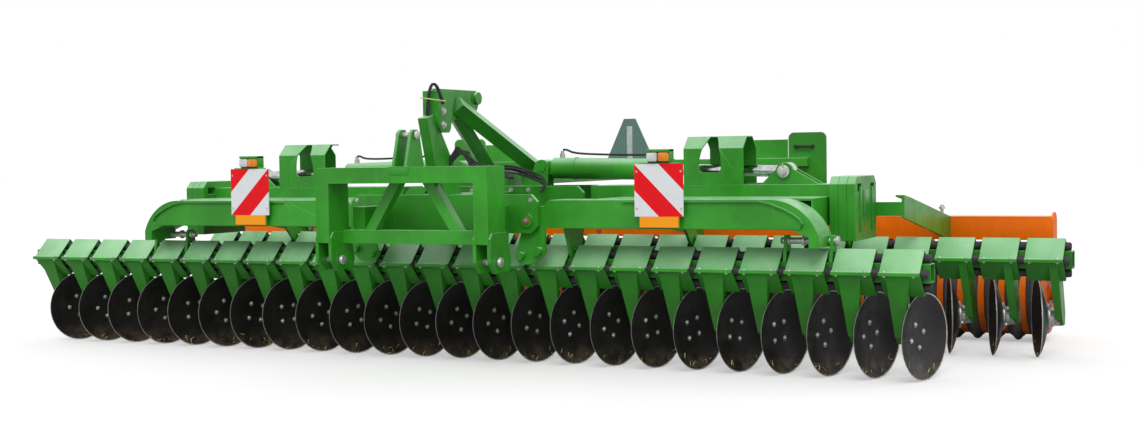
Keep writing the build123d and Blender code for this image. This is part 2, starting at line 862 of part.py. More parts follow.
def pivot_pins():
    """The wing pivot pins and the cylinders' base pins."""
    bulkhead_front = girder_front - bulkhead_gap - bulkhead_plate
    lug_back = girder_front + hinge_plate + rear_plate_gap + bulkhead_plate
    middle_front = main_beam_front - rear_plate_gap - bulkhead_plate
    rear_back = main_beam_back + rear_plate_gap + bulkhead_plate
    base_half = eye_width / 2 + ear_play + ear_plate + 6
    head = pivot_pin_radius + 8
    pins = []
    for side in (-1, 1):
        x = side * pivot_x
        front = rod_y(pivot_pin_radius, bulkhead_front, lug_back + 6, x, pivot_z)
        front += rod_y(head, bulkhead_front - pivot_pin_head, bulkhead_front - seat_play, x, pivot_z)
        front += rod_y(pivot_pin_radius, bulkhead_front - pivot_pin_head, bulkhead_front, x, pivot_z)
        back = rod_y(pivot_pin_radius, middle_front - 6, rear_back + pivot_pin_head, x, pivot_z)
        back += rod_y(head, rear_back + seat_play, rear_back + pivot_pin_head, x, pivot_z)
        pins += [front, back]
        pins.append(rod_y(eye_bore_radius, cylinder_y - base_half, cylinder_y + base_half,
                          side * cylinder_base_x, cylinder_base_z))
    return pins


def tower():
    """The leaning column, the head plate with its boss and lug, and the two struts."""
    half = column_width / 2
    bulkhead_front = girder_front - bulkhead_gap - bulkhead_plate
    knee = bulkhead_top + (head_top - bulkhead_top) * column_knee_share
    column = along_x([(bulkhead_front, bulkhead_top), (bulkhead_front - column_lean, knee),
                      (head_front - 85, head_top - head_depth), (head_front - 5, head_top - head_depth + 20),
                      (head_front + 210, knee), (head_front + 280, bulkhead_top)], -half, half)
    web = head_plate / 2
    nose = head_boss_y + head_boss_radius
    head = along_x([(head_front, head_top - head_depth), (head_front, head_top - head_corner),
                    (head_front + head_corner, head_top), (head_boss_y, head_top),
                    (nose, head_boss_z + 10), (nose, head_boss_z), (head_boss_y + 10, head_boss_z - 70),
                    (head_front + 150, head_top - 200)], -web, web)
    head += rod_x(head_boss_radius - 8, -half, half, head_boss_y, head_boss_z)
    lugs = along_x([(head_front, head_top - 190), (head_front, head_top - 14),
                    (head_front + 200, head_top - 14),
                    (head_front + 150, lug_bottom + 20), (head_front + 130, lug_bottom),
                    (head_front + 50, lug_bottom), (head_front + 25, lug_bottom + 25)],
                   -half - lug_width, half + lug_width)
    body = column + head + lugs
    rear_front = main_beam_back + rear_plate_gap
    for side in (-1, 1):
        start = (side * strut_top[0], strut_top[1], strut_top[2])
        end = (side * strut_foot[0], strut_foot[1], strut_foot[2])
        body += bar_between(start, end, strut_side, strut_side, 45)
    seat = block((-245, 245), (rear_front - strut_seat, rear_front + 4 * strut_seat),
                 (main_beam_top - 10, main_beam_top + strut_seat))
    return body - seat


def rear_carrier():
    """The bar for the rear boards and the arm that carries it."""
    half = carrier_bar / 2
    back = carrier_reach - rear_plate
    front = back - carrier_bar
    bar = block((-carrier_half, carrier_half), (front, back), (carrier_bar_z - half, carrier_bar_z + half))
    arm = block((-carrier_arm / 2, carrier_arm / 2), (main_beam_back - 2 * strut_seat, front),
                (main_beam_top, main_beam_top + carrier_arm))
    riser = block((-carrier_arm / 2, carrier_arm / 2), (front - carrier_arm, front),
                  (main_beam_top, carrier_bar_z + half))
    return bar + arm + riser


def rear_boards():
    """The boards, lamp plates and slow vehicle plate on the rear bar."""
    front = carrier_reach - rear_plate
    plates = []
    for side in (-1, 1):
        board = RectangleRounded(rear_board_width, rear_board_height, rear_board_corner)
        middle = side * (carrier_half - rear_board_inset)
        outline = (Pos(middle, carrier_bar_z + rear_board_lift) * board).wire()
        plates.append(along_y(outline, front, carrier_reach))
        plates.append(block((side * lamp_plate_inner, side * lamp_plate_outer), (front, carrier_reach),
                            (carrier_bar_z, carrier_bar_z + lamp_plate_height)))
    base = carrier_bar_z
    top = base + slow_plate_height
    marker = Polyline((-slow_plate_foot, base), (slow_plate_foot, base), (slow_plate_head, top),
                      (-slow_plate_head, top), close=True)
    return plates + [along_y(marker, front, carrier_reach)]


def build():
    """Make and write every piece."""
    blade = disc()
    hands = (-1, 1)
    blades = {hand: disc_turn(hand) * blade for hand in hands}
    hubs = {hand: hub(hand) for hand in hands}
    arms = {hand: clamp_and_arm(hand) for hand in hands}
    for side, name in ((-1, "left"), (1, "right")):
        places = [(Pos(x, y, disc_radius), hand) for x, y, hand in disc_table(side)]
        write("discs_" + name, *[place * blades[hand] for place, hand in places])
        write("disc_hubs_" + name, *[place * hubs[hand] for place, hand in places])
        write("disc_arms_" + name, *[place * arms[hand] for place, hand in places])
        write("row_beams_" + name, row_beam(side, 0), row_beam(side, row_spacing))
        write("rubber_cords_" + name, *row_cords(side, 0), *row_cords(side, row_spacing))
        write("wing_girder_" + name, wing_girder(side))
        write("wing_main_beam_" + name, wing_main_beam(side))
        write("cylinder_guard_" + name, *cylinder_guard(side))
        write("row_carriers_" + name, *row_carriers(side))
        write("weights_" + name, *weights(side))
        write("marker_board_" + name, *marker_board(side))
        write("board_bracket_" + name, board_bracket(side))
        write("marker_lamp_" + name, marker_lamp(side))
        write("roller_arms_" + name, *roller_arms(side))
        write("roller_frame_" + name, roller_frame(side))
        write("scrapers_" + name, *scrapers(side))
        write("roller_drum_" + name, roller_drum(side))
        write("roller_rings_" + name, *roller_rings(side))
        write("cylinder_barrel_" + name, cylinder_barrel(side))
        write("cylinder_rod_" + name, cylinder_rod(side))
    write("headstock", headstock())
    write("centre_frame", centre_frame())
    write("pivot_pins", *pivot_pins())
    write("tower", tower())
    write("rear_carrier", rear_carrier())
    write("rear_boards", *rear_boards())


build()
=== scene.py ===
import json
import random
from math import cos, pi, radians, sin, sqrt

import bmesh
import bpy
from bpy.props import FloatProperty, FloatVectorProperty, IntProperty, PointerProperty
from bpy.types import Operator, Panel, PropertyGroup
from mathutils import Matrix, Vector

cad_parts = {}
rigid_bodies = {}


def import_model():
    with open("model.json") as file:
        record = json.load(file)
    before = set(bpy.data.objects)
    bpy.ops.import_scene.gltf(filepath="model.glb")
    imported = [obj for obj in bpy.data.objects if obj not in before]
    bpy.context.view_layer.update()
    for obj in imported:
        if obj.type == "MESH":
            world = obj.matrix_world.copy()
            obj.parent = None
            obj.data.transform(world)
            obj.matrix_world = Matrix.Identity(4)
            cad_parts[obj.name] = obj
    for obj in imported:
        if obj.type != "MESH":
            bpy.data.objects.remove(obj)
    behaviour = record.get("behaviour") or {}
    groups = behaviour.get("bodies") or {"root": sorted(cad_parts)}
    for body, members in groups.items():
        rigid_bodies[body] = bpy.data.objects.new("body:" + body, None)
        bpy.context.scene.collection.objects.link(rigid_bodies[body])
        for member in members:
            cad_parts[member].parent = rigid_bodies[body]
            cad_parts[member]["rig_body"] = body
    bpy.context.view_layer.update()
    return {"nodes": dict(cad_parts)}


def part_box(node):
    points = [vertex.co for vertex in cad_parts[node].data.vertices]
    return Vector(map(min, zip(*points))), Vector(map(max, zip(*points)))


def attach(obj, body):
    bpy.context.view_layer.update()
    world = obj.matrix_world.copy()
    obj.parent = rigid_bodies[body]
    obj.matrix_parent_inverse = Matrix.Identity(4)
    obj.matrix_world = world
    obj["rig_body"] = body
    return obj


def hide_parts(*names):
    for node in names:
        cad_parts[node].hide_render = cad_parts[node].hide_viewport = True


bl_info = {
    "name": "Folding disc harrow",
    "version": (1, 0, 0),
    "blender": (4, 5, 0),
    "location": "3D View > Sidebar > Harrow",
    "description": "Dresses the packed frame of a folding disc harrow",
    "category": "Object",
}

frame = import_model()

SIDES = (("left", -1), ("right", 1))

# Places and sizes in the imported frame, in metres and degrees, for the right wing where the wings mirror

# Rows of discs
FRONT_ROW_Y = -0.775
ROW_SPACING = 1.125
DISCS_PER_SIDE = 12
DISC_PITCH = 0.25
ROW_OFFSET = 0.1875
ATTACK_ANGLE = 17
BEAM_BACK = 0.116
BEAM_Z = 0.57
CLAMP_REACH = 0.122
CLAMP_LENGTH = 0.21
CLAMP_SHIFT = 0.0765
LIP_HALF = 0.010
CLAMP_BOLT_SHARE = 0.36
CORD_SEAT = 0.0745
CORD_RADIUS = 0.0238
HUB_SEAT = 0.053
ARM_FACE = 0.115
ARM_THICKNESS = 0.034
HANGER_Z = 0.730
HANGER_FACES = (1.995, 2.08, 2.20, 2.262)

# Wing pivots and hitch
PIVOT_X = 0.5516
PIVOT_Z = 0.84
LINK_X = 0.508
LINK_Y = -1.475
LINK_Z = 0.631
TOP_LINK_Y = -1.465
TOP_LINK_Z = 1.325
LINK_PIN_RADIUS = 0.0183
TOP_PIN_RADIUS = 0.0159
HITCH_PIN_HALF = 0.066

# Rollers
ROLLER_Y = 1.145
ROLLER_Z = 0.29
ROLLER_INNER = 0.028
RING_PITCH = 0.125
RINGS_PER_SIDE = 24
ROLLER_ARM_FACES = (0.750, 2.398)
ROLLER_ARM_BOLTS = (0.655, 0.755)
SPINDLE = (2.395, 0.945, 0.60)

# Boards
BOARD_X = 1.3505
BOARD_Z = 1.006
BOARD_SIDE = 0.282
REAR_BOARD_X = 1.315
REAR_BAR_Z = 1.150
REAR_LAMP_X = (0.930, 1.180)
REAR_LAMP_TOP = 1.262
STRIPED_PANEL_X = (1.218, 1.452)
STRIPED_PANEL_Z = (0.955, 1.305)
SLOW_PLATE_REACH = 0.4

# Cylinders, their guards and the girders
GUARD_INNER = 1.24
GUARD_LENGTH = 0.36
GUARD_PROFILE = ((-0.490, 1.018), (-0.490, 1.225), (-0.420, 1.294),
                 (-0.325, 1.294), (-0.255, 1.225), (-0.255, 1.018))
GUARD_PLATE = 0.008
WINDOW_MIDDLE = 1.399
WINDOW_HALF = 0.067
EAR_HALF = 0.075
ROD_EYE = (1.82, -0.373, 1.09)
BASE_EYE = (0.29, -0.373, 1.125)
GIRDER_FRONT = -1.085


def colour(name, description, value):
    """A colour that the panel shows."""
    return FloatVectorProperty(name=name, description=description, default=value, subtype="COLOR",
                               min=0, max=1)


def length(name, description, value):
    """A length that the panel shows, in metres."""
    return FloatProperty(name=name, description=description, default=value, min=0, unit="LENGTH")


class HarrowSettings(PropertyGroup):
    """Sizes and colours that a user would change."""

    frame_paint: colour("Frame paint", "Paint of the beams, arms and tower", (0.040, 0.365, 0.021))
    # This pale tint for faces turned to the sky is partly faded paint and partly painted sky light.
    frame_paint_faded_and_sky_lit: colour("Faded paint", "Tint of this paint facing the sky", (0.38, 0.67, 0.40))
    roller_paint: colour("Roller paint", "Paint of the roller frame and drum", (0.95, 0.17, 0.002))
    # This pale tint for the roller's faces turned to the sky is partly faded paint and partly painted sky
    # light.
    roller_paint_faded_and_sky_lit: colour("Faded roller paint", "Tint of this paint facing the sky", (0.95, 0.33, 0.06))
    disc_steel: colour("Disc steel", "Dark hardened steel of the discs", (0.009, 0.008, 0.008))
    soil: colour("Soil", "Dry soil on whatever works near the ground", (0.11, 0.075, 0.045))
    rubber: colour("Rubber", "Rubber of the cords and the roller's rings", (0.022, 0.022, 0.025))
    disc_radius: length("Disc radius", "Outer radius of each disc", 0.23)
    disc_flat: length("Disc flat", "Radius of the flat in the middle of each disc", 0.085)
    disc_dish: length("Disc dish", "Depth of each disc's hollow", 0.046)
    disc_bolt_circle: length("Disc bolt circle", "Radius of the circle of a disc's bolts", 0.064)
    disc_bolts: IntProperty(name="Disc bolts", description="Bolts of each disc", default=4, min=3, max=8)
    edge_round: length("Edge rounding", "Radius of the rounded edges of plates and beams", 0.003)
    floor_half: length("Floor half width", "Half the width of the studio floor", 60.0)


def settings():
    """The harrow's settings in the current scene."""
    return bpy.context.scene.harrow


# Materials

def node(tree, kind, **values):
    """A shader node with its settings and the values of its sockets."""
    made = tree.nodes.new(kind)
    for name, value in values.items():
        if hasattr(made, name):
            setattr(made, name, value)
        else:
            made.inputs[name].default_value = value
    return made


def wire(tree, source, target):
    """Link an output to an input."""
    tree.links.new(source, target)


def rgba(value, alpha=1.0):
    """A colour with its alpha."""
    return (*tuple(value)[:3], alpha)


def new_material(name):
    """An empty node material, its tree, its shader and its object coordinates."""
    material = bpy.data.materials.new(name)
    material.use_nodes = True
    tree = material.node_tree
    tree.nodes.clear()
    output = node(tree, "ShaderNodeOutputMaterial")
    shader = node(tree, "ShaderNodeBsdfPrincipled")
    wire(tree, shader.outputs["BSDF"], output.inputs["Surface"])
    place = node(tree, "ShaderNodeTexCoord").outputs["Object"]
    return material, tree, shader, place


def stretched(tree, place, scale):
    """Object coordinates scaled by a Mapping node."""
    mapping = node(tree, "ShaderNodeMapping", Scale=scale)
    wire(tree, place, mapping.inputs["Vector"])
    return mapping.outputs["Vector"]


def noise(tree, place, scale, detail=4, roughness=0.55):
    """A noise pattern's factor."""
    made = node(tree, "ShaderNodeTexNoise", Scale=scale, Detail=detail, Roughness=roughness)
    wire(tree, place, made.inputs["Vector"])
    return made.outputs["Fac"]


def between(tree, value, low, high, to_low=0.0, to_high=1.0):
    """A value mapped from one range to another, smoothly and clamped."""
    made = node(tree, "ShaderNodeMapRange", interpolation_type="SMOOTHSTEP")
    for name, number in (("From Min", low), ("From Max", high), ("To Min", to_low), ("To Max", to_high)):
        made.inputs[name].default_value = number
    wire(tree, value, made.inputs["Value"])
    return made.outputs["Result"]


def reckoned(tree, operation, first, second):
    """A Math node on sockets or numbers."""
    made = node(tree, "ShaderNodeMath", operation=operation)
    for socket, value in zip(made.inputs, (first, second)):
        if isinstance(value, (int, float)):
            socket.default_value = value
        else:
            wire(tree, value, socket)
    return made.outputs["Value"]


def mixed(tree, factor, first, second):
    """Two colours mixed by a factor. Each is a socket or a plain colour."""
    made = node(tree, "ShaderNodeMix", data_type="RGBA")
    wire(tree, factor, made.inputs["Factor"])
    for socket, value in ((made.inputs[6], first), (made.inputs[7], second)):
        if isinstance(value, bpy.types.NodeSocket):
            wire(tree, value, socket)
        else:
            socket.default_value = rgba(value)
    return made.outputs[2]


def bump(tree, shader, height, strength, distance=0.002):
    """Relief from a height."""
    made = node(tree, "ShaderNodeBump", Strength=strength, Distance=distance)
    wire(tree, height, made.inputs["Height"])
    wire(tree, made.outputs["Normal"], shader.inputs["Normal"])


def patchy_gloss(tree, shader, pattern, low, high):
    """Roughness that wanders between two values with a pattern."""
    wire(tree, between(tree, pattern, 0.3, 0.7, low, high), shader.inputs["Roughness"])


def facing_up(tree):
    """How far a surface faces the sky, from -1 to 1."""
    normal = node(tree, "ShaderNodeNewGeometry").outputs["Normal"]
    parts = node(tree, "ShaderNodeSeparateXYZ")
    wire(tree, normal, parts.inputs["Vector"])
    return parts.outputs["Z"]


def part_of(tree, place, axis):
    """One of the object coordinates."""
    parts = node(tree, "ShaderNodeSeparateXYZ")
    wire(tree, place, parts.inputs["Vector"])
    return parts.outputs[axis]


def soiled(tree, place, base, amount, low, high):
    """A colour with dry soil on it up to some height."""
    height = between(tree, part_of(tree, place, "Z"), low, high, amount, 0.0)
    patches = between(tree, noise(tree, place, 14, 8, 0.7), 0.38, 0.66)
    return mixed(tree, reckoned(tree, "MULTIPLY", height, patches), base, settings().soil)


def paint(name, base, pale, darker=0.58, sky_fade_and_light=0.92, shine=0.32):
    """Sprayed paint on steel: patchy, paler where it faces the sky as faded paint and painted sky light,
    darker on faces turned down as painted shade, chipped and dusty near the ground.
    """
    material, tree, shader, place = new_material(name)
    patches = between(tree, noise(tree, place, 1.7, 6, 0.6), 0.30, 0.72)
    shade = mixed(tree, patches, [part * darker for part in base], base)
    runs = noise(tree, stretched(tree, place, (9, 9, 2)), 3.0, 5, 0.6)
    streaks = between(tree, runs, 0.52, 0.80, 0.0, 0.30)
    shade = mixed(tree, streaks, shade, [min(1, part * 1.35) for part in base])
    # Painted shade: faces turned towards the ground are darkened.
    below = between(tree, facing_up(tree), -0.85, -0.10, 0.50, 0.0)
    shade = mixed(tree, below, shade, [part * 0.3 for part in base])
    # Faces turned to the sky get a patchy pale tint: partly faded paint, partly painted sky light.
    sky = between(tree, facing_up(tree), 0.20, 0.95, 0.0, sky_fade_and_light)
    sky_tint_patches = between(tree, noise(tree, place, 5.0, 5, 0.6), 0.25, 0.75, 0.65, 1.0)
    shade = mixed(tree, reckoned(tree, "MULTIPLY", sky, sky_tint_patches), shade, pale)
    chips = between(tree, noise(tree, place, 34, 9, 0.72), 0.715, 0.75, 0.0, 0.85)
    shade = mixed(tree, chips, shade, (0.055, 0.045, 0.035))
    shade = soiled(tree, place, shade, 0.45, 0.12, 0.58)
    wire(tree, shade, shader.inputs["Base Color"])
    patchy_gloss(tree, shader, noise(tree, place, 11, 5, 0.6), 0.26, 0.44)
    shader.inputs["Specular IOR Level"].default_value = shine
    shader.inputs["Coat Weight"].default_value = shine / 3
    shader.inputs["Coat Roughness"].default_value = 0.2
    waves = reckoned(tree, "MULTIPLY", noise(tree, place, 9, 3), 3.0)
    bump(tree, shader, reckoned(tree, "ADD", noise(tree, place, 260, 3), waves), 0.12, 0.0012)
    return material


def disc_steel_material():
    """Dark hardened steel with turned rings of scuffing, and soil dried on near the ground."""
    material, tree, shader, place = new_material("disc_steel")
    base = settings().disc_steel
    cloud = between(tree, noise(tree, place, 7, 7, 0.65), 0.30, 0.75)
    shade = mixed(tree, cloud, base, [part * 2.2 + 0.004 for part in base])
    scuffs = between(tree, noise(tree, stretched(tree, place, (30, 6, 6)), 6, 8, 0.7), 0.60, 0.78, 0.0, 0.35)
    shade = mixed(tree, scuffs, shade, (0.10, 0.085, 0.07))
    shade = soiled(tree, place, shade, 0.9, 0.015, 0.13)
    wire(tree, shade, shader.inputs["Base Color"])
    shader.inputs["Specular IOR Level"].default_value = 0.35
    patchy_gloss(tree, shader, noise(tree, place, 22, 6, 0.7), 0.30, 0.50)
    bump(tree, shader, noise(tree, place, 120, 6, 0.7), 0.25, 0.0008)
    return material


def bare_steel(name, base, rough, metallic=0.9, dirt=0.5):
    """Ground or plated steel with a cloudy gloss."""
    material, tree, shader, place = new_material(name)
    cloud = between(tree, noise(tree, place, 40, 6, 0.6), 0.3, 0.75)
    shade = mixed(tree, cloud, [part * 0.55 for part in base], base)
    shade = soiled(tree, place, shade, dirt, 0.05, 0.5)
    wire(tree, shade, shader.inputs["Base Color"])
    shader.inputs["Metallic"].default_value = metallic
    patchy_gloss(tree, shader, noise(tree, place, 90, 4), rough, rough + 0.2)
    bump(tree, shader, noise(tree, place, 300, 4), 0.10, 0.0005)
    return material


def rubber_material(name, base):
    """Dusty moulded rubber."""
    material, tree, shader, place = new_material(name)
    dust = between(tree, noise(tree, place, 9, 8, 0.7), 0.40, 0.75, 0.0, 0.5)
    shade = mixed(tree, dust, base, [part * 2.2 + 0.02 for part in base])
    shade = soiled(tree, place, shade, 0.5, 0.03, 0.4)
    wire(tree, shade, shader.inputs["Base Color"])
    patchy_gloss(tree, shader, noise(tree, place, 30, 5), 0.58, 0.82)
    bump(tree, shader, noise(tree, place, 180, 6, 0.7), 0.3, 0.0008)
    return material


def plastic_material(name, base, rough=0.2, ribs=0.0):
    """Moulded plastic, with fine upright ribs inside a lens."""
    material, tree, shader, place = new_material(name)
    cloud = between(tree, noise(tree, place, 25, 4), 0.3, 0.7)
    wire(tree, mixed(tree, cloud, [part * 0.75 for part in base], base), shader.inputs["Base Color"])
    patchy_gloss(tree, shader, noise(tree, place, 60, 4), rough, rough + 0.15)
    if ribs:
        wave = node(tree, "ShaderNodeTexWave", bands_direction="X", Scale=ribs)
        wire(tree, place, wave.inputs["Vector"])
        bump(tree, shader, wave.outputs["Fac"], 0.6, 0.002)
    else:
        bump(tree, shader, noise(tree, place, 400, 3), 0.08, 0.0004)
    return material


def stripe_material():
    """Red and white reflecting stripes across a square board, mirrored on the other wing."""
    material, tree, shader, place = new_material("warning_stripes")
    outward = reckoned(tree, "ABSOLUTE", part_of(tree, place, "X"), 0.0)
    across = reckoned(tree, "SUBTRACT", outward, BOARD_X)
    up = reckoned(tree, "SUBTRACT", part_of(tree, place, "Z"), BOARD_Z)
    bands = reckoned(tree, "MULTIPLY", reckoned(tree, "ADD", across, up), 2 / BOARD_SIDE)
    red = reckoned(tree, "GREATER_THAN", reckoned(tree, "FLOORED_MODULO", bands, 2.0), 1.0)
    grime = between(tree, noise(tree, place, 16, 7, 0.7), 0.50, 0.8, 0.0, 0.3)
    shader.inputs["Specular IOR Level"].default_value = 0.2
    white = mixed(tree, grime, (0.74, 0.76, 0.78), (0.50, 0.52, 0.52))
    red_paint = mixed(tree, grime, (0.80, 0.003, 0.009), (0.55, 0.02, 0.02))
    shade = mixed(tree, red, white, red_paint)
    amber = reckoned(tree, "LESS_THAN", part_of(tree, place, "Z"), BOARD_Z - BOARD_SIDE / 2)
    wire(tree, mixed(tree, amber, shade, (0.95, 0.34, 0.01)), shader.inputs["Base Color"])
    patchy_gloss(tree, shader, noise(tree, place, 30, 4), 0.28, 0.42)
    cells = node(tree, "ShaderNodeTexVoronoi", Scale=170.0)
    wire(tree, place, cells.inputs["Vector"])
    bump(tree, shader, cells.outputs["Distance"], 0.18, 0.0008)
    return material


def grass_material():
    """Cut grass and straw."""
    material, tree, shader, place = new_material("grass")
    cloud = between(tree, noise(tree, place, 12, 3), 0.3, 0.7)
    wire(tree, mixed(tree, cloud, (0.26, 0.36, 0.03), (0.62, 0.58, 0.22)), shader.inputs["Base Color"])
    shader.inputs["Roughness"].default_value = 0.6
    bump(tree, shader, noise(tree, place, 200, 3), 0.2, 0.0005)
    return material


MATERIALS = {}


def finish_of(name):
    """A material by name, made once."""
    made = MATERIALS.get(name)
    if made is None:
        values = settings()
        # The pale and orange sky-facing tints are partly faded paint and partly painted sky light.
        green, pale = tuple(values.frame_paint), tuple(values.frame_paint_faded_and_sky_lit)
        # A darker copy of the frame paint, with little sky tint, for the row beams: painted shade.
        green_in_painted_shade = [part * 0.7 for part in green]
        orange, orange_faded_and_sky_lit = tuple(values.roller_paint), tuple(values.roller_paint_faded_and_sky_lit)
        recipes = {
            "green_paint": lambda: paint("green_paint", green, pale),
            "dark_green_paint": lambda: paint("dark_green_paint", green_in_painted_shade, pale, sky_fade_and_light=0.3),
            "orange_paint": lambda: paint("orange_paint", orange, orange_faded_and_sky_lit, 0.75, 0.5, 0.10),
            "disc_steel": disc_steel_material,
            # Bright ground edge of the discs, partly a painted highlight.
            "disc_edge_and_highlight": lambda: bare_steel("disc_edge_and_highlight", (0.72, 0.71, 0.69), 0.30, 0.5, 0.3),
            "zinc": lambda: bare_steel("zinc", (0.72, 0.72, 0.70), 0.30, 0.6, 0.2),
            "hub_steel": lambda: bare_steel("hub_steel", (0.62, 0.63, 0.62), 0.30, 0.8, 0.1),
            "chrome": lambda: bare_steel("chrome", (0.80, 0.80, 0.82), 0.06, 1.0),
            "rubber": lambda: rubber_material("rubber", tuple(values.rubber)),
            "ring_rubber": lambda: rubber_material("ring_rubber", [part * 1.5 for part in values.rubber]),
            "hose_rubber": lambda: rubber_material("hose_rubber", (0.012, 0.012, 0.013)),
            "lamp_clear": lambda: plastic_material("lamp_clear", (0.72, 0.74, 0.74), 0.08, 60.0),
            "lamp_amber": lambda: plastic_material("lamp_amber", (0.95, 0.30, 0.01), 0.08, 60.0),
            "lamp_red": lambda: plastic_material("lamp_red", (0.55, 0.01, 0.01), 0.08, 60.0),
            "black_plastic": lambda: plastic_material("black_plastic", (0.02, 0.02, 0.02), 0.35),
            "plate_grey": lambda: paint("plate_grey", (0.125, 0.225, 0.21), (0.24, 0.32, 0.30), 0.85, 0.4),
            "pale_plate": lambda: plastic_material("pale_plate", (0.50, 0.56, 0.56), 0.3),
            "warning_stripes": stripe_material,
            "tie_yellow": lambda: plastic_material("tie_yellow", (0.62, 0.66, 0.22), 0.4),
            "primer_red": lambda: plastic_material("primer_red", (0.40, 0.10, 0.05), 0.5),
            "grass": grass_material,
        }
        made = recipes[name]()
        MATERIALS[name] = made
    return made


# Shapes

def finished(name, body, shell, *materials, smooth=38, replaced=(), slot=None):
    """Turn a bmesh into a piece that rides on a body."""
    mesh = bpy.data.meshes.new(name)
    shell.to_mesh(mesh)
    shell.free()
    for material in materials:
        mesh.materials.append(finish_of(material))
    mesh.shade_smooth()
    mesh.set_sharp_from_angle(angle=radians(smooth))
    piece = bpy.data.objects.new(name, mesh)
    bpy.context.scene.collection.objects.link(piece)
    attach(piece, body)
    if replaced:
        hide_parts(*replaced)
    return piece


def added(shell, make):
    """Run a maker on a bmesh and return the vertices that it adds."""
    before = set(shell.verts)
    make()
    return [vertex for vertex in shell.verts if vertex not in before]


def place_at(x, y, z):
    """A move to a point."""
    return Matrix.Translation((x, y, z))


def turn(degrees, axis):
    """A turn about an axis."""
    return Matrix.Rotation(radians(degrees), 4, axis)


ALONG_X = turn(90, "Y")
ALONG_MINUS_X = turn(-90, "Y")
ALONG_MINUS_Y = turn(90, "X")
ALONG_Y = turn(-90, "X")


def painted(shell, verts, index):
    """Give every face of some new vertices a material slot."""
    chosen = set(verts)
    for face in shell.faces:
        if face.verts[0] in chosen:
            face.material_index = index


def eased(shell, edges, rounding):
    """Round some edges off."""
    bmesh.ops.bevel(shell, geom=list(edges), offset=rounding, offset_type="OFFSET", segments=2, profile=0.5,
                    affect="EDGES", material=-1, clamp_overlap=True)


def block(shell, low, high, rounding=0.0, index=0):
    """A box between two corners, its edges rounded."""
    low, high = Vector(low), Vector(high)
    size = high - low
    middle = (low + high) / 2
    verts = added(shell, lambda: bmesh.ops.create_cube(shell, size=1))
    bmesh.ops.transform(shell, matrix=place_at(*middle) @ Matrix.Diagonal((*size, 1)), verts=verts)
    painted(shell, verts, index)
    if rounding:
        eased(shell, {edge for vertex in verts for edge in vertex.link_edges}, rounding)


def slab(shell, corners, depth, index=0):
    """A flat plate from its corners and the step to its other side."""
    near = [shell.verts.new(corner) for corner in corners]
    far = [shell.verts.new(Vector(corner) + Vector(depth)) for corner in corners]
    count = len(corners)
    faces = [shell.faces.new(near), shell.faces.new(list(reversed(far)))]
    for number in range(count):
        following = (number + 1) % count
        faces.append(shell.faces.new((near[following], near[number], far[number], far[following])))
    for face in faces:
        face.material_index = index
    bmesh.ops.recalc_face_normals(shell, faces=faces)


def round_bar(shell, place, radius, low, high, sides=24, end_radius=None, rounding=0.0, index=0):
    """A round or tapered bar along a place's own Z."""
    matrix = place @ place_at(0, 0, (low + high) / 2)
    far = radius if end_radius is None else end_radius
    verts = added(shell, lambda: bmesh.ops.create_cone(shell, cap_ends=True, segments=sides, radius1=radius,
                                                       radius2=far, depth=high - low, matrix=matrix))
    painted(shell, verts, index)
    if rounding:
        rims = {edge for vertex in verts for edge in vertex.link_edges
                if any(len(face.verts) > 4 for face in edge.link_faces)}
        eased(shell, rims, rounding)


def turned(shell, profile, place, steps=48, closed=False, index=0):
    """A turned shape: a profile of radius and height, spun about a place's own Z."""
    before = set(shell.verts)
    verts = [shell.verts.new((radius, 0, height)) for radius, height in profile]
    edges = [shell.edges.new(pair) for pair in zip(verts, verts[1:])]
    if closed:
        edges.append(shell.edges.new((verts[-1], verts[0])))
    bmesh.ops.spin(shell, geom=verts + edges, cent=(0, 0, 0), axis=(0, 0, 1), angle=2 * pi, steps=steps,
                   use_merge=True)
    made = [vertex for vertex in shell.verts if vertex not in before]
    bmesh.ops.remove_doubles(shell, verts=made, dist=1e-6)
    made = [vertex for vertex in shell.verts if vertex not in before]
    faces = {face for vertex in made for face in vertex.link_faces}
    bmesh.ops.recalc_face_normals(shell, faces=list(faces))
    for face in faces:
        face.material_index = index
    bmesh.ops.transform(shell, matrix=place, verts=made)


def bolt(shell, place, radius, height, index=0, domed=False):
    """A washer under a hexagon or dome head, standing on a place's own Z = 0."""
    round_bar(shell, place, radius * 1.5, -height * 0.4, height * 0.22, 12, index=index)
    if domed:
        turned(shell, [(radius, height * 0.2), (radius * 0.92, height * 0.6), (radius * 0.55, height * 0.92),
                       (0, height)], place, 10, index=index)
    else:
        round_bar(shell, place, radius * 1.1, height * 0.22, height, 6, radius * 1.0, index=index)


def stamped(shell, template, place):
    """A copy of a small mesh, put at a place."""
    count = len(shell.verts)
    shell.from_mesh(template)
    shell.verts.ensure_lookup_table()
    bmesh.ops.transform(shell, matrix=place, verts=shell.verts[count:])


def template_of(shell):
    """A bmesh kept as a mesh to stamp from."""
    mesh = bpy.data.meshes.new("template")
    shell.to_mesh(mesh)
    shell.free()
    return mesh


def rounded_copy(name, material, slot=None, rounding=None):
    """A copy of a frame node with its flat faces joined and its edges rounded."""
    source = frame["nodes"][name]
    shell = bmesh.new()
    shell.from_mesh(source.data)
    bmesh.ops.remove_doubles(shell, verts=shell.verts, dist=1e-5)
    bmesh.ops.dissolve_limit(shell, angle_limit=radians(1.0), verts=shell.verts, edges=shell.edges)
    piece = finished("dressed_" + name, source["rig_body"], shell, material, replaced=(name,),
                     slot=slot or material)
    bevel = piece.modifiers.new("rounded edges", "BEVEL")
    bevel.width = settings().edge_round if rounding is None else rounding
    bevel.segments = 2
    bevel.limit_method = "ANGLE"
    bevel.angle_limit = radians(40)
    bevel.harden_normals = True
    return piece


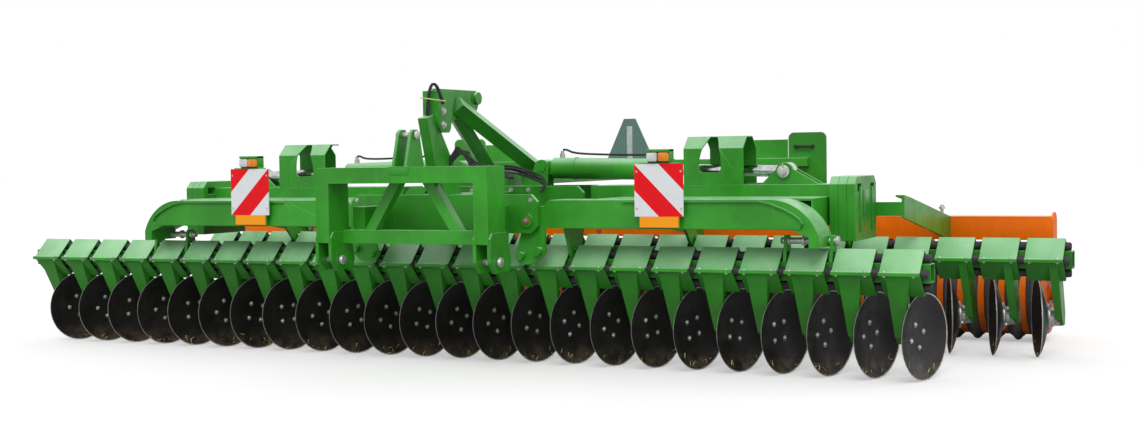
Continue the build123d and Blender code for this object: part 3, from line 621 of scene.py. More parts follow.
def hose(name, body, points, radius, material="hose_rubber"):
    """A hose clipped to the frame, on one smooth curve through given points."""
    data = bpy.data.curves.new(name, "CURVE")
    data.dimensions = "3D"
    data.bevel_depth = radius
    data.bevel_resolution = 3
    data.use_fill_caps = True
    spline = data.splines.new("NURBS")
    spline.points.add(len(points) - 1)
    for point, where in zip(spline.points, points):
        point.co = (*where, 1)
    spline.order_u = 3
    spline.use_endpoint_u = True
    spline.resolution_u = 8
    data.materials.append(finish_of(material))
    piece = bpy.data.objects.new(name, data)
    bpy.context.scene.collection.objects.link(piece)
    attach(piece, body)
    return piece


# Rows

def disc_places(side):
    """Each disc of a wing: its X, its row's Y and the hand of its clamp."""
    table = []
    for row, hand in ((0, -1), (1, 1)):
        for number in range(DISCS_PER_SIDE):
            x = side * (number + 0.5) * DISC_PITCH + hand * ROW_OFFSET
            table.append((x, FRONT_ROW_Y + row * ROW_SPACING, hand))
    return table


def disc_turn(hand):
    """The turn from a disc's own axis to its place on a row."""
    return turn(hand * ATTACK_ANGLE, "Z") @ turn(-90 * hand, "Y")


def dish_height(radius):
    """The height of a disc's hollow side at a radius, on one round bowl."""
    values = settings()
    rim, flat, dish = values.disc_radius, values.disc_flat, values.disc_dish
    centre = (rim ** 2 - flat ** 2 - dish ** 2) / (2 * dish)
    bowl = sqrt(rim ** 2 + centre ** 2)
    return centre - sqrt(bowl ** 2 - radius ** 2)


def disc_template():
    """One bowl-shaped disc about Z with a ground edge, whose bright ring is partly a painted highlight."""
    values = settings()
    rim, flat = values.disc_radius, values.disc_flat
    plate = HUB_SEAT - values.disc_dish
    rings = [flat + (rim - flat) * share for share in (0.2, 0.4, 0.6, 0.8)]
    hollow = [(0, -values.disc_dish), (flat, -values.disc_dish)]
    hollow += [(radius, dish_height(radius)) for radius in rings]
    hollow += [(rim - 0.006, dish_height(rim - 0.006)), (rim, -0.0002)]
    back = [(rim, -0.0012)]
    back += [(rim - 0.006, dish_height(rim - 0.006) - 0.004)]
    back += [(radius, dish_height(radius) - plate) for radius in reversed(rings)]
    back += [(flat, -HUB_SEAT), (0, -HUB_SEAT)]
    shell = bmesh.new()
    turned(shell, hollow + back, Matrix.Identity(4), 40)
    for face in shell.faces:
        # The outer ring of faces gets the bright edge material: the ground edge, brightened as a painted
        # highlight.
        middle = face.calc_center_median()
        if sqrt(middle.x ** 2 + middle.y ** 2) > rim - 0.0055:
            face.material_index = 1
    return template_of(shell)


def hub_template():
    """One bearing hub: a flange with its nuts, a stepped bell and a cap ring."""
    shell = bmesh.new()
    turned(shell, [(0, -HUB_SEAT), (0.078, -HUB_SEAT), (0.080, -HUB_SEAT - 0.003), (0.080, -HUB_SEAT - 0.012),
                   (0.078, -HUB_SEAT - 0.014), (0.058, -HUB_SEAT - 0.015), (0.055, -HUB_SEAT - 0.022),
                   (0.055, -HUB_SEAT - 0.040), (0.050, -HUB_SEAT - 0.044), (0.050, -0.138), (0, -0.138)],
           Matrix.Identity(4), 24)
    for number in range(settings().disc_bolts):
        spot = turn(360 * number / settings().disc_bolts, "Z") @ place_at(0.066, 0, -HUB_SEAT - 0.014)
        bolt(shell, spot @ turn(180, "X"), 0.009, 0.010)
    return template_of(shell)


def disc_bolt_template():
    """The dome heads of a disc's bolts in its hollow."""
    values = settings()
    shell = bmesh.new()
    for number in range(values.disc_bolts):
        angle = 2 * pi * number / values.disc_bolts
        spot = (values.disc_bolt_circle * cos(angle), values.disc_bolt_circle * sin(angle), -values.disc_dish)
        bolt(shell, place_at(*spot), 0.0098, 0.011, domed=True)
    return template_of(shell)


class HARROW_OT_discs(Operator):
    """Dished discs, their bolts and their bearing hubs"""

    bl_idname = "harrow.discs"
    bl_label = "Discs"

    def execute(self, context):
        chance = random.Random(7)
        disc, hub, heads = disc_template(), hub_template(), disc_bolt_template()
        for name, side in SIDES:
            blades, hubs, bolts = bmesh.new(), bmesh.new(), bmesh.new()
            for x, y, hand in disc_places(side):
                spot = place_at(x, y, settings().disc_radius) @ disc_turn(hand)
                phase = turn(chance.uniform(0, 90), "Z")
                stamped(blades, disc, spot)
                stamped(hubs, hub, spot @ phase)
                stamped(bolts, heads, spot @ phase)
            wing = "wing_" + name
            finished("dished_discs_" + name, wing, blades, "disc_steel", "disc_edge_and_highlight",
                     replaced=("discs_" + name,), slot="disc_steel")
            finished("bearing_hubs_" + name, wing, hubs, "hub_steel", replaced=("disc_hubs_" + name,),
                     slot="hub_steel")
            finished("disc_bolt_heads_" + name, wing, bolts, "zinc", slot="zinc")
        return {"FINISHED"}


class HARROW_OT_rows(Operator):
    """Row beams, rubber cords, clamps with their bolts, and arms"""

    bl_idname = "harrow.rows"
    bl_label = "Rows"

    def execute(self, context):
        for name, side in SIDES:
            rounded_copy("disc_arms_" + name, "green_paint", rounding=0.004)
            # The row beams take the darker copy of the frame paint, as painted shade.
            rounded_copy("row_beams_" + name, "dark_green_paint")
            self.arm_fronts(name, side)
            self.clamp_bolts(name, side)
            self.cords(name, side)
        return {"FINISHED"}

    def arm_fronts(self, name, side):
        """The tapered front of each arm, wide on the front row, with a narrow return down its free edge."""
        plate, top_z, foot_z = 0.010, 0.545, 0.222
        top_back, foot_back = 0.214, 0.034
        shell = bmesh.new()
        for x, y, hand in disc_places(side):
            seam = x + hand * (ARM_FACE + ARM_THICKNESS)
            top_width, foot_width = (0.118, 0.050) if hand < 0 else (0.046, 0.040)
            free_top, free_foot = seam - hand * top_width, seam - hand * foot_width
            top_y, foot_y = y - top_back, y - foot_back
            lip = hand * plate
            slab(shell, [(seam, top_y, top_z), (free_top, top_y, top_z), (free_foot, foot_y, foot_z),
                         (seam, foot_y, foot_z)], (0, plate, plate / 2))
            top_y, low_z, high_z = top_y + 0.002, foot_z + 0.004, top_z - 0.002
            slab(shell, [(free_top + lip, top_y, high_z), (free_top, top_y, high_z),
                         (free_foot, foot_y, low_z), (free_foot + lip, foot_y, low_z)], (0, 0.036, 0.012))
        finished("arm_fronts_" + name, "wing_" + name, shell, "green_paint", slot="green_paint")

    def clamp_bolts(self, name, side):
        """Two bolts through each lip of every clamp, with a head above and below."""
        heads = bmesh.new()
        bolt(heads, Matrix.Identity(4), 0.0075, 0.008, domed=True)
        head = template_of(heads)
        shell = bmesh.new()
        for x, y, hand in disc_places(side):
            middle = x + hand * CLAMP_SHIFT
            for lip in (-1, 1):
                lip_y = y - BEAM_BACK + lip * CLAMP_REACH
                for share in (-CLAMP_BOLT_SHARE, CLAMP_BOLT_SHARE):
                    bolt_x = middle + share * CLAMP_LENGTH
                    stamped(shell, head, place_at(bolt_x, lip_y, BEAM_Z + LIP_HALF))
                    stamped(shell, head, place_at(bolt_x, lip_y, BEAM_Z - LIP_HALF) @ turn(180, "X"))
        finished("clamp_bolts_" + name, "wing_" + name, shell, "zinc", slot="zinc")

    def cords(self, name, side):
        """Round rubber cords with a swelling at each clamp's mouth."""
        radius, swelling, mouth_half = CORD_RADIUS, 1.09, 0.012
        shell = bmesh.new()
        node_name = "rubber_cords_" + name
        low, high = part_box(node_name)
        table = disc_places(side)
        for row in (0, 1):
            y = FRONT_ROW_Y + row * ROW_SPACING
            centres = sorted(x + hand * CLAMP_SHIFT for x, row_y, hand in table if row_y == y)
            start = centres[0] - DISC_PITCH / 2 + 0.02
            end = centres[-1] + DISC_PITCH / 2 + 0.015
            start, end = max(start, low.x), min(end, high.x)
            profile = [(0, start), (radius * 0.8, start), (radius, start + 0.006)]
            for centre in centres:
                for mouth in (centre - CLAMP_LENGTH / 2, centre + CLAMP_LENGTH / 2):
                    profile += [(radius, mouth - mouth_half), (radius * swelling, mouth),
                                (radius, mouth + mouth_half)]
            profile += [(radius, end - 0.006), (radius * 0.8, end), (0, end)]
            profile = [point for point in profile if start <= point[1] <= end]
            for cord_y, cord_z in ((0, 1), (0, -1), (1, 0), (-1, 0)):
                spot = place_at(0, y - BEAM_BACK + cord_y * CORD_SEAT, BEAM_Z + cord_z * CORD_SEAT) @ ALONG_X
                turned(shell, profile, spot, 14)
        finished("round_cords_" + name, "wing_" + name, shell, "rubber", replaced=(node_name,),
                 slot="black_rubber")


# Roller

class HARROW_OT_roller(Operator):
    """Wedge rings, drum, frame tube, scrapers and bearings of both rollers"""

    bl_idname = "harrow.roller"
    bl_label = "Rollers"

    def execute(self, context):
        for name, side in SIDES:
            self.rings(name, side)
            self.drum(name, side)
            rounded_copy("roller_frame_" + name, "orange_paint")
            rounded_copy("scrapers_" + name, "orange_paint", rounding=0.002)
            rounded_copy("roller_arms_" + name, "green_paint")
            self.fittings(name, side)
        return {"FINISHED"}

    def rings(self, name, side):
        """Black wedge rings with a rounded crest and a groove on each flank."""
        shell = bmesh.new()
        flank = [(0.243, 0.042), (0.252, 0.0415), (0.264, 0.032), (0.266, 0.026), (0.279, 0.015),
                 (0.287, 0.008)]
        profile = [(radius, -half) for radius, half in flank] + [(0.2895, 0)] + flank[::-1]
        turned(shell, profile, Matrix.Identity(4), 48, closed=True)
        ring = template_of(shell)
        rings = bmesh.new()
        for number in range(RINGS_PER_SIDE):
            x = side * (ROLLER_INNER / 2 + (number + 0.5) * RING_PITCH)
            stamped(rings, ring, place_at(x, ROLLER_Y, ROLLER_Z) @ ALONG_X)
        finished("wedge_rings_" + name, "roller_" + name, rings, "ring_rubber",
                 replaced=("roller_rings_" + name,), slot="black_rubber")

    def drum(self, name, side):
        """The drum with raised bands between its rings, and its shaft end."""
        low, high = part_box("roller_drum_" + name)
        near, far = (low.x, high.x) if side > 0 else (-high.x, -low.x)
        radius, wall, end_plate = 0.2424, 0.012, 0.02
        band, rise = 0.0203, 0.010
        shaft, shaft_reach = 0.038, 0.044
        drum_end = far - shaft_reach
        profile = [(radius - wall, near), (radius, near)]
        for number in range(1, RINGS_PER_SIDE):
            middle = ROLLER_INNER / 2 + number * RING_PITCH
            profile += [(radius, middle - band), (radius + rise, middle - band + 0.0013),
                        (radius + rise, middle + band - 0.0013), (radius, middle + band)]
        profile += [(radius, drum_end - 0.004), (radius - 0.004, drum_end), (0.12, drum_end),
                    (0.11, drum_end - 0.006), (0.06, drum_end - 0.006), (0.055, drum_end), (shaft, drum_end),
                    (shaft, far - 0.004), (shaft - 0.004, far), (0, far)]
        profile += [(0, drum_end - end_plate), (radius - wall, drum_end - end_plate)]
        shell = bmesh.new()
        spot = place_at(0, ROLLER_Y, ROLLER_Z) @ (ALONG_X if side > 0 else ALONG_MINUS_X)
        turned(shell, profile, spot, 48, closed=True)
        finished("banded_drum_" + name, "roller_" + name, shell, "orange_paint",
                 replaced=("roller_drum_" + name,), slot="orange_paint")

    def fittings(self, name, side):
        """Bolts of the bearing and the roller arms, and the depth spindle."""
        bearing_circle, bearing_plate = 0.058, 0.014
        spindle_foot, spindle_nut, spindle_top = 0.06, 0.09, 0.235
        shell = bmesh.new()
        low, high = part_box("roller_frame_" + name)
        outer = (high.x if side > 0 else -low.x)
        inwards = ALONG_MINUS_X if side > 0 else ALONG_X
        face = place_at(side * (outer - bearing_plate), ROLLER_Y, ROLLER_Z) @ inwards
        for number in range(4):
            spot = face @ turn(45 + 90 * number, "Z") @ place_at(bearing_circle, 0, 0)
            bolt(shell, spot, 0.009, 0.012)
        for x in ROLLER_ARM_FACES:
            for z in ROLLER_ARM_BOLTS:
                spot = place_at(side * x, low.y + 0.002, z) @ ALONG_MINUS_Y
                bolt(shell, spot, 0.011, 0.014)
        x, y, z = SPINDLE
        spindle = place_at(side * x, y, z)
        round_bar(shell, spindle, 0.011, spindle_foot, spindle_top, 14)
        bolt(shell, spindle @ place_at(0, 0, spindle_top), 0.014, 0.018)
        bolt(shell, spindle @ place_at(0, 0, spindle_nut) @ turn(180, "X"), 0.014, 0.018)
        finished("roller_fittings_" + name, "wing_" + name, shell, "zinc", slot="zinc")


# Wing frame

class HARROW_OT_wings(Operator):
    """Girders, main beams, cylinder guards, carriers and weights"""

    bl_idname = "harrow.wings"
    bl_label = "Wings"

    def execute(self, context):
        for name, side in SIDES:
            for node_name in ("wing_girder_", "wing_main_beam_", "row_carriers_"):
                rounded_copy(node_name + name, "green_paint")
            self.guard(name, side)
            rounded_copy("weights_" + name, "green_paint", rounding=0.006)
            self.seams(name, side)
            self.pins(name, side)
        return {"FINISHED"}

    def guard(self, name, side):
        """The folded guard over the cylinder, its arched window from front to ridge, and the ears."""
        steps = [0]
        for (y0, z0), (y1, z1) in zip(GUARD_PROFILE, GUARD_PROFILE[1:]):
            steps.append(steps[-1] + sqrt((y1 - y0) ** 2 + (z1 - z0) ** 2))
        step_back, corner = 0.075, 0.03
        start, end, cut = GUARD_INNER, GUARD_INNER + GUARD_LENGTH, GUARD_INNER + step_back
        sheet = [(start, 0), (end, 0), (end, steps[-1]), (cut, steps[-1]), (cut, steps[3] + corner),
                 (cut - corner, steps[3]), (start, steps[3])]
        spring, tip = 0.13, steps[2] + 0.05
        window = [(-WINDOW_HALF + 0.018, 0.070), (WINDOW_HALF - 0.018, 0.070), (WINDOW_HALF, 0.090),
                  (WINDOW_HALF, spring)]
        lean = [number / 8 for number in range(1, 9)]
        window += [(WINDOW_HALF * (1 - share ** 1.7), spring + (tip - spring) * share) for share in lean]
        window += [(-WINDOW_HALF * (1 - share ** 1.1), spring + (tip - spring) * share)
                   for share in reversed(lean[:-1])]
        window += [(-WINDOW_HALF, spring), (-WINDOW_HALF, 0.090)]
        shell = bmesh.new()
        edges = []
        for loop in (sheet, [(WINDOW_MIDDLE + x, s) for x, s in window]):
            verts = [shell.verts.new((x, s, 0)) for x, s in loop]
            edges += [shell.edges.new(pair) for pair in zip(verts, verts[1:] + verts[:1])]
        bmesh.ops.triangle_fill(shell, use_beauty=True, use_dissolve=False, edges=edges)
        for fold in steps[1:-1]:
            geometry = list(shell.verts) + list(shell.edges) + list(shell.faces)
            bmesh.ops.bisect_plane(shell, geom=geometry, plane_co=(0, fold, 0), plane_no=(0, 1, 0), dist=1e-6)
        for vertex in shell.verts:
            along = vertex.co.y
            number = max(index for index in range(len(steps) - 1) if along >= steps[index] - 1e-6)
            share = (along - steps[number]) / (steps[number + 1] - steps[number])
            (y0, z0), (y1, z1) = GUARD_PROFILE[number:number + 2]
            vertex.co = (side * vertex.co.x, y0 + (y1 - y0) * share, z0 + (z1 - z0) * share)
        bmesh.ops.recalc_face_normals(shell, faces=shell.faces)
        inside = Vector((side * WINDOW_MIDDLE, -0.3725, 1.1))
        outward = sum(face.normal.dot(face.calc_center_median() - inside) * face.calc_area()
                      for face in shell.faces)
        if outward < 0:
            bmesh.ops.reverse_faces(shell, faces=shell.faces)
        bmesh.ops.solidify(shell, geom=list(shell.faces), thickness=GUARD_PLATE)
        bmesh.ops.recalc_face_normals(shell, faces=shell.faces)
        node_name = "cylinder_guard_" + name
        source = bmesh.new()
        source.from_mesh(frame["nodes"][node_name].data)
        bmesh.ops.remove_doubles(source, verts=source.verts, dist=1e-5)
        bridge = [vertex for vertex in source.verts if abs(vertex.co.x) < end + 1e-4
                  and (vertex.co.z > 1.03 or abs(vertex.co.y - ROD_EYE[1]) > EAR_HALF)]
        bmesh.ops.delete(source, geom=bridge, context="VERTS")
        bmesh.ops.dissolve_limit(source, angle_limit=radians(1.0), verts=source.verts, edges=source.edges)
        ears = template_of(source)
        shell.from_mesh(ears)
        piece = finished("arched_guard_" + name, "wing_" + name, shell, "green_paint", smooth=30,
                         replaced=(node_name,), slot="green_paint")
        rounded = piece.modifiers.new("rounded edges", "BEVEL")
        rounded.width = 0.0015
        rounded.segments = 1
        rounded.limit_method = "ANGLE"
        rounded.angle_limit = radians(50)

    def seams(self, name, side):
        """The raised cheek and rim on the girder's front, and the weights' ribs and bare plate."""
        shell = bmesh.new()
        cheek = [(0.765, 0.799), (0.850, 0.838), (0.923, 0.871), (1.000, 0.902), (1.069, 0.928),
                 (1.093, 0.912), (1.120, 0.940), (1.900, 0.940), (1.960, 0.928), (2.034, 0.900),
                 (2.085, 0.873), (2.119, 0.848), (2.135, 0.822), (2.120, 0.799)]
        slab(shell, [(side * x, GIRDER_FRONT - 0.005, z) for x, z in cheek], (0, 0.006, 0))
        rim = cheek[6:]
        front = GIRDER_FRONT - 0.020
        for (x0, z0), (x1, z1) in zip(rim, rim[1:]):
            slab(shell, [(side * x0, front, z0), (side * x1, front, z1), (side * x1, GIRDER_FRONT, z1),
                         (side * x0, GIRDER_FRONT, z0)], (side * 0.003, 0, 0.006))
        weights_low, weights_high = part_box("weights_" + name)
        outer = weights_high.x if side > 0 else weights_low.x
        middle = (weights_low.y + weights_high.y) / 2
        start, end = sorted((outer - side * 0.004, outer + side * 0.007))
        rib_width = 0.022
        for offset in (-0.130, 0.108):
            block(shell, (start, middle + offset, 0.760), (end, middle + offset + rib_width, 1.00), 0.003)
        start, end = sorted((outer - side * 0.004, outer + side * 0.004))
        block(shell, (start, middle - 0.055, 0.850), (end, middle + 0.045, 0.985), 0.0015)
        finished("girder_seams_" + name, "wing_" + name, shell, "green_paint", smooth=30, slot="green_paint")

    def pins(self, name, side):
        """Pins, washers and nuts of the row hangers and the cylinder's rod eye."""
        washer, washer_half = 0.027, 0.007
        pin, pin_start, pin_end = 0.0176, 1.965, 2.263
        ear_face = 0.053
        shell = bmesh.new()
        pin_y = FRONT_ROW_Y - BEAM_BACK
        for x in HANGER_FACES:
            spot = place_at(side * x, pin_y, HANGER_Z) @ ALONG_X
            round_bar(shell, spot, washer, -washer_half, washer_half, 20, rounding=0.002)
        outwards = ALONG_X if side > 0 else ALONG_MINUS_X
        round_bar(shell, place_at(0, pin_y, HANGER_Z) @ outwards, pin, pin_start, pin_end, 20, rounding=0.002)
        x, y, z = ROD_EYE
        for face, axis in ((-ear_face, ALONG_MINUS_Y), (ear_face, ALONG_Y)):
            spot = place_at(side * x, y + face, z) @ axis
            round_bar(shell, spot, 0.036, 0.014, 0.020, 24, rounding=0.002)
            round_bar(shell, spot, 0.021, 0.019, 0.036, 24, rounding=0.003)
            round_bar(shell, spot @ place_at(0, 0, 0.029) @ turn(90, "X"), 0.0035, -0.046, 0.034, 8)
        finished("wing_pins_" + name, "wing_" + name, shell, "zinc", slot="zinc")


class HARROW_OT_boards(Operator):
    """Striped warning boards, their brackets and lamps"""

    bl_idname = "harrow.boards"
    bl_label = "Boards and lamps"

    def execute(self, context):
        for name, side in SIDES:
            frame_node = frame["nodes"]["marker_board_" + name]
            frame_node.data.materials.clear()
            frame_node.data.materials.append(finish_of("warning_stripes"))
            rounded_copy("board_bracket_" + name, "green_paint", rounding=0.002)
            self.lamp(name)
            self.rivets(name, side)
        return {"FINISHED"}

    def lamp(self, name):
        """A lamp with a black base, a clear half and an amber half under a green hood."""
        low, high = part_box("marker_lamp_" + name)
        shell = bmesh.new()
        split = (low.x + high.x) / 2
        front = low.y
        top = high.z - 0.012
        block(shell, (low.x + 0.004, front + 0.014, low.z), (high.x - 0.004, high.y, top), 0.006, 0)
        for start, end, index in ((low.x, split, 1), (split, high.x, 2)):
            block(shell, (start + 0.003, front, low.z + 0.006), (end - 0.003, front + 0.03, top - 0.006),
                  0.009, index)
        block(shell, (low.x, front + 0.010, top - 0.003), (high.x, high.y, high.z), 0.003, 3)
        block(shell, (high.x - 0.004, front + 0.016, low.z), (high.x, high.y, high.z), 0.002, 3)
        finished("lensed_lamp_" + name, "wing_" + name, shell, "black_plastic", "lamp_clear", "lamp_amber",
                 "green_paint", replaced=("marker_lamp_" + name,), slot="lamp")

    def rivets(self, name, side):
        """Rivets near the board's edges."""
        across_half, up_half = 0.128, 0.1
        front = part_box("marker_board_" + name)[0].y
        shell = bmesh.new()
        for up in (-up_half, up_half):
            for across in (-across_half, across_half):
                spot = place_at(side * BOARD_X + across, front, BOARD_Z + up) @ ALONG_MINUS_Y
                bolt(shell, spot, 0.004, 0.003, domed=True)
        finished("board_rivets_" + name, "wing_" + name, shell, "zinc", slot="zinc")


# Centre

class HARROW_OT_centre(Operator):
    """Headstock, centre frame, tower, rear bar and boards"""

    bl_idname = "harrow.centre"
    bl_label = "Centre frame"

    def execute(self, context):
        for node_name in ("headstock", "centre_frame", "tower", "rear_carrier"):
            rounded_copy(node_name, "green_paint", rounding=0.004)
        plates = rounded_copy("rear_boards", "green_paint", slot="plate_grey", rounding=0.0015)
        plates.data.materials.append(finish_of("plate_grey"))
        for face in plates.data.polygons:
            if abs(face.center.x) < SLOW_PLATE_REACH:
                face.material_index = 1
        self.pins()
        self.boards()
        self.bolts()
        self.hoses()
        return {"FINISHED"}

    def pins(self):
        """The hitch pins with their heads, and grease nipples in red rings on the wing pivots."""
        pivots = frame["nodes"]["pivot_pins"]
        pivots.data.materials.clear()
        pivots.data.materials.append(finish_of("green_paint"))
        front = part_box("pivot_pins")[0].y
        rings = bmesh.new()
        for name, side in SIDES:
            spot = place_at(side * PIVOT_X, front, PIVOT_Z) @ ALONG_MINUS_Y
            round_bar(rings, spot, 0.020, -0.002, 0.005, 20, rounding=0.0015, index=1)
            round_bar(rings, spot, 0.011, 0.003, 0.009, 16, index=0)
            round_bar(rings, spot, 0.004, 0.008, 0.022, 8, 0.0025, index=0)
        finished("pivot_nipples", "frame", rings, "zinc", "primer_red", slot="zinc")
        link_knob = [(0, 0), (0.027, 0), (0.027, 0.010), (0.023, 0.017), (0.012, 0.021), (0, 0.022)]
        top_knob = [(0, 0), (0.024, 0), (0.024, 0.010), (0.020, 0.016), (0.010, 0.020), (0, 0.021)]
        link_seat, top_seat, clip = 0.058, 0.053, 0.062
        shell = bmesh.new()
        for name, side in SIDES:
            spot = place_at(side * LINK_X, LINK_Y, LINK_Z) @ ALONG_X
            round_bar(shell, spot, LINK_PIN_RADIUS, -HITCH_PIN_HALF, HITCH_PIN_HALF, 28, rounding=0.003)
            for end, way in ((-link_seat, turn(180, "X")), (link_seat, Matrix.Identity(4))):
                turned(shell, link_knob, spot @ place_at(0, 0, end) @ way, 20)
            round_bar(shell, place_at(side * LINK_X - clip, LINK_Y, LINK_Z), 0.0045, -0.034, 0.030, 8)
        top = place_at(0, TOP_LINK_Y, TOP_LINK_Z) @ ALONG_X
        round_bar(shell, top, TOP_PIN_RADIUS, -HITCH_PIN_HALF, HITCH_PIN_HALF, 28, rounding=0.003)
        for way in (Matrix.Identity(4), turn(180, "X")):
            turned(shell, top_knob, top @ way @ place_at(0, 0, top_seat), 20)
        finished("hitch_pins", "frame", shell, "zinc", slot="zinc")

    def boards(self):
        """Striped panels and lamps at the rear bar's back, and handles and a pale strip at its front."""
        low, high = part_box("rear_boards")
        shell = bmesh.new()
        for name, side in SIDES:
            middle, half = side * REAR_BOARD_X, 0.060
            block(shell, (middle - half, low.y - 0.034, 1.224), (middle + half, low.y - 0.018, 1.242), 0.005)
            for end in (middle - half, middle + half):
                block(shell, (end - 0.009, low.y - 0.032, 1.220), (end + 0.009, low.y, 1.246), 0.004)
            inner, outer = sorted(side * x for x in REAR_LAMP_X)
            bottom, top, gap = REAR_BAR_Z, REAR_LAMP_TOP, 0.006
            block(shell, (inner, high.y - 0.002, bottom), (outer, high.y + 0.028, top), 0.006)
            third = (outer - inner) / 3
            for number, index in enumerate((1, 2, 1)):
                start = inner + number * third
                block(shell, (start + 0.004, high.y + 0.020, bottom + gap),
                      (start + third - 0.004, high.y + 0.036, top - gap), 0.007, index)
            inner, outer = sorted(side * x for x in STRIPED_PANEL_X)
            bottom, top = STRIPED_PANEL_Z
            block(shell, (inner, high.y - 0.001, bottom), (outer, high.y + 0.003, top), 0.001, 4)
        block(shell, (-0.022, low.y - 0.004, REAR_BAR_Z), (0.022, low.y + 0.002, 1.400), 0.003, 3)
        triangle = [(-0.165, 1.145), (0.165, 1.145), (0.035, 1.430), (-0.035, 1.430)]
        slab(shell, [(x, high.y + 0.003, z) for x, z in triangle], (0, -0.004, 0), 2)
        finished("rear_lamps_and_handles", "frame", shell, "black_plastic", "lamp_red", "lamp_amber",
                 "pale_plate", "warning_stripes", slot="lamp")

    def bolts(self):
        """Bolts of the tower's lugs and the centre frame's plates, and the saddle on the portal."""
        lug_half, lug_y, lug_heights = 0.047, -1.163, (1.383, 1.462)
        rear_y, rear_z, rear_places = -0.525, 0.995, (0.134, 0.252)
        front_y, front_z, front_places = -1.120, 0.955, (0.575, 0.40)
        shell = bmesh.new()
        for z in lug_heights:
            for way, axis in ((1, ALONG_X), (-1, ALONG_MINUS_X)):
                bolt(shell, place_at(way * lug_half, lug_y, z) @ axis, 0.014, 0.016)
        for name, side in SIDES:
            for x in rear_places:
                bolt(shell, place_at(side * x, rear_y, rear_z) @ ALONG_MINUS_Y, 0.010, 0.010)
            for x in front_places:
                bolt(shell, place_at(side * x, front_y, front_z) @ ALONG_MINUS_Y, 0.009, 0.009)
        finished("frame_bolts", "frame", shell, "zinc", slot="zinc")
        saddle = bmesh.new()
        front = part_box("headstock")[0].y
        block(saddle, (-0.062, front - 0.005, 1.108), (0.062, front + 0.012, 1.154), 0.002)
        finished("portal_saddle", "frame", saddle, "green_paint", slot="green_paint")

    def hoses(self):
        """Hoses clipped to the frame: up and over the tower, and in a bundle to each wing."""
        front = -1.248
        for number, shift in enumerate((0.0, 0.016)):
            hose("tower_hose_%d" % number, "frame",
                 [(-0.012 + shift, -1.150, 1.190), (-0.014 + shift, -1.262, 1.300),
                  (-0.008 + shift, front, 1.440), (shift, front - shift, 1.540),
                  (0.018 + shift, front - shift, 1.602),
                  (0.040 + shift / 2, front, 1.618), (0.062 + shift / 2, front + 0.01, 1.585),
                  (0.066 + shift / 2, front + 0.05, 1.500)], 0.0065)
        hose("tower_tie", "frame",
             [(-0.039, front - 0.012, 1.536), (0.0, front - 0.026, 1.533), (0.05, front - 0.02, 1.524),
              (0.104, front + 0.02, 1.515)], 0.0035, "tie_yellow")
        for number in range(4):
            lift = 0.013 * number
            hose("foot_hose_%d" % number, "frame",
                 [(0.030, -1.075, 1.150 + lift), (0.070, -1.060, 1.205 + lift),
                  (0.105 - lift, -1.050, 1.225 + lift), (0.130, -1.040, 1.190 + lift / 2),
                  (0.150, -1.030 + lift, 1.130 + lift),
                  (0.230, -1.020 + lift, 1.095 + lift), (0.330, -1.010 + lift, 1.092 + lift / 2),
                  (0.395, -1.020 + lift, 1.075)], 0.0065)
        for name, side in SIDES:
            for number in range(4):
                lift = 0.012 * number
                drift = 0.014 * (number % 2)
                path = [(0.060, -0.800 + drift, 1.060 + lift), (0.110 + drift, -0.700, 1.110 + lift),
                        (0.190, -0.600 + drift, 1.105 + lift), (0.280, -0.555, 1.070 + lift),
                        (0.350 + drift, -0.560, 1.045 + lift), (0.402, -0.590 + drift, 1.020 + lift / 2),
                        (0.395, -0.640, 0.985)]
                points = [(side * x, y, z) for x, y, z in path]
                hose("beam_hose_%s_%d" % (name, number), "frame", points, 0.0062)


class HARROW_OT_cylinders(Operator):
    """Folding cylinders with their ports"""

    bl_idname = "harrow.cylinders"
    bl_label = "Cylinders"

    def execute(self, context):
        for name, side in SIDES:
            for node_name, material in (("cylinder_barrel_", "green_paint"), ("cylinder_rod_", "chrome")):
                mesh = frame["nodes"][node_name + name].data
                mesh.materials.clear()
                mesh.materials.append(finish_of(material))
            self.ports(name, side)
        return {"FINISHED"}

    def ports(self, name, side):
        """Two hose ports on the barrel and the pipe along it."""
        shell = bmesh.new()
        x, y, z = BASE_EYE
        slope = (ROD_EYE[2] - BASE_EYE[2]) / (ROD_EYE[0] - BASE_EYE[0])
        port_places = (0.12, 0.78)
        for distance in port_places:
            spot = place_at(side * (x + distance), y, z + slope * distance)
            round_bar(shell, spot, 0.016, 0.055, 0.086, 6)
            round_bar(shell, spot, 0.011, 0.080, 0.104, 12)
        finished("cylinder_ports_" + name, "barrel_" + name, shell, "zinc", slot="zinc")
        hose("barrel_pipe_" + name, "barrel_" + name,
             [(side * 0.415, y, 1.232), (side * 0.435, y, 1.236), (side * 0.480, y + 0.01, 1.210),
              (side * 0.700, y + 0.012, 1.199), (side * 1.010, y + 0.01, 1.192), (side * 1.050, y, 1.218),
              (side * 1.068, y, 1.212)], 0.0065)


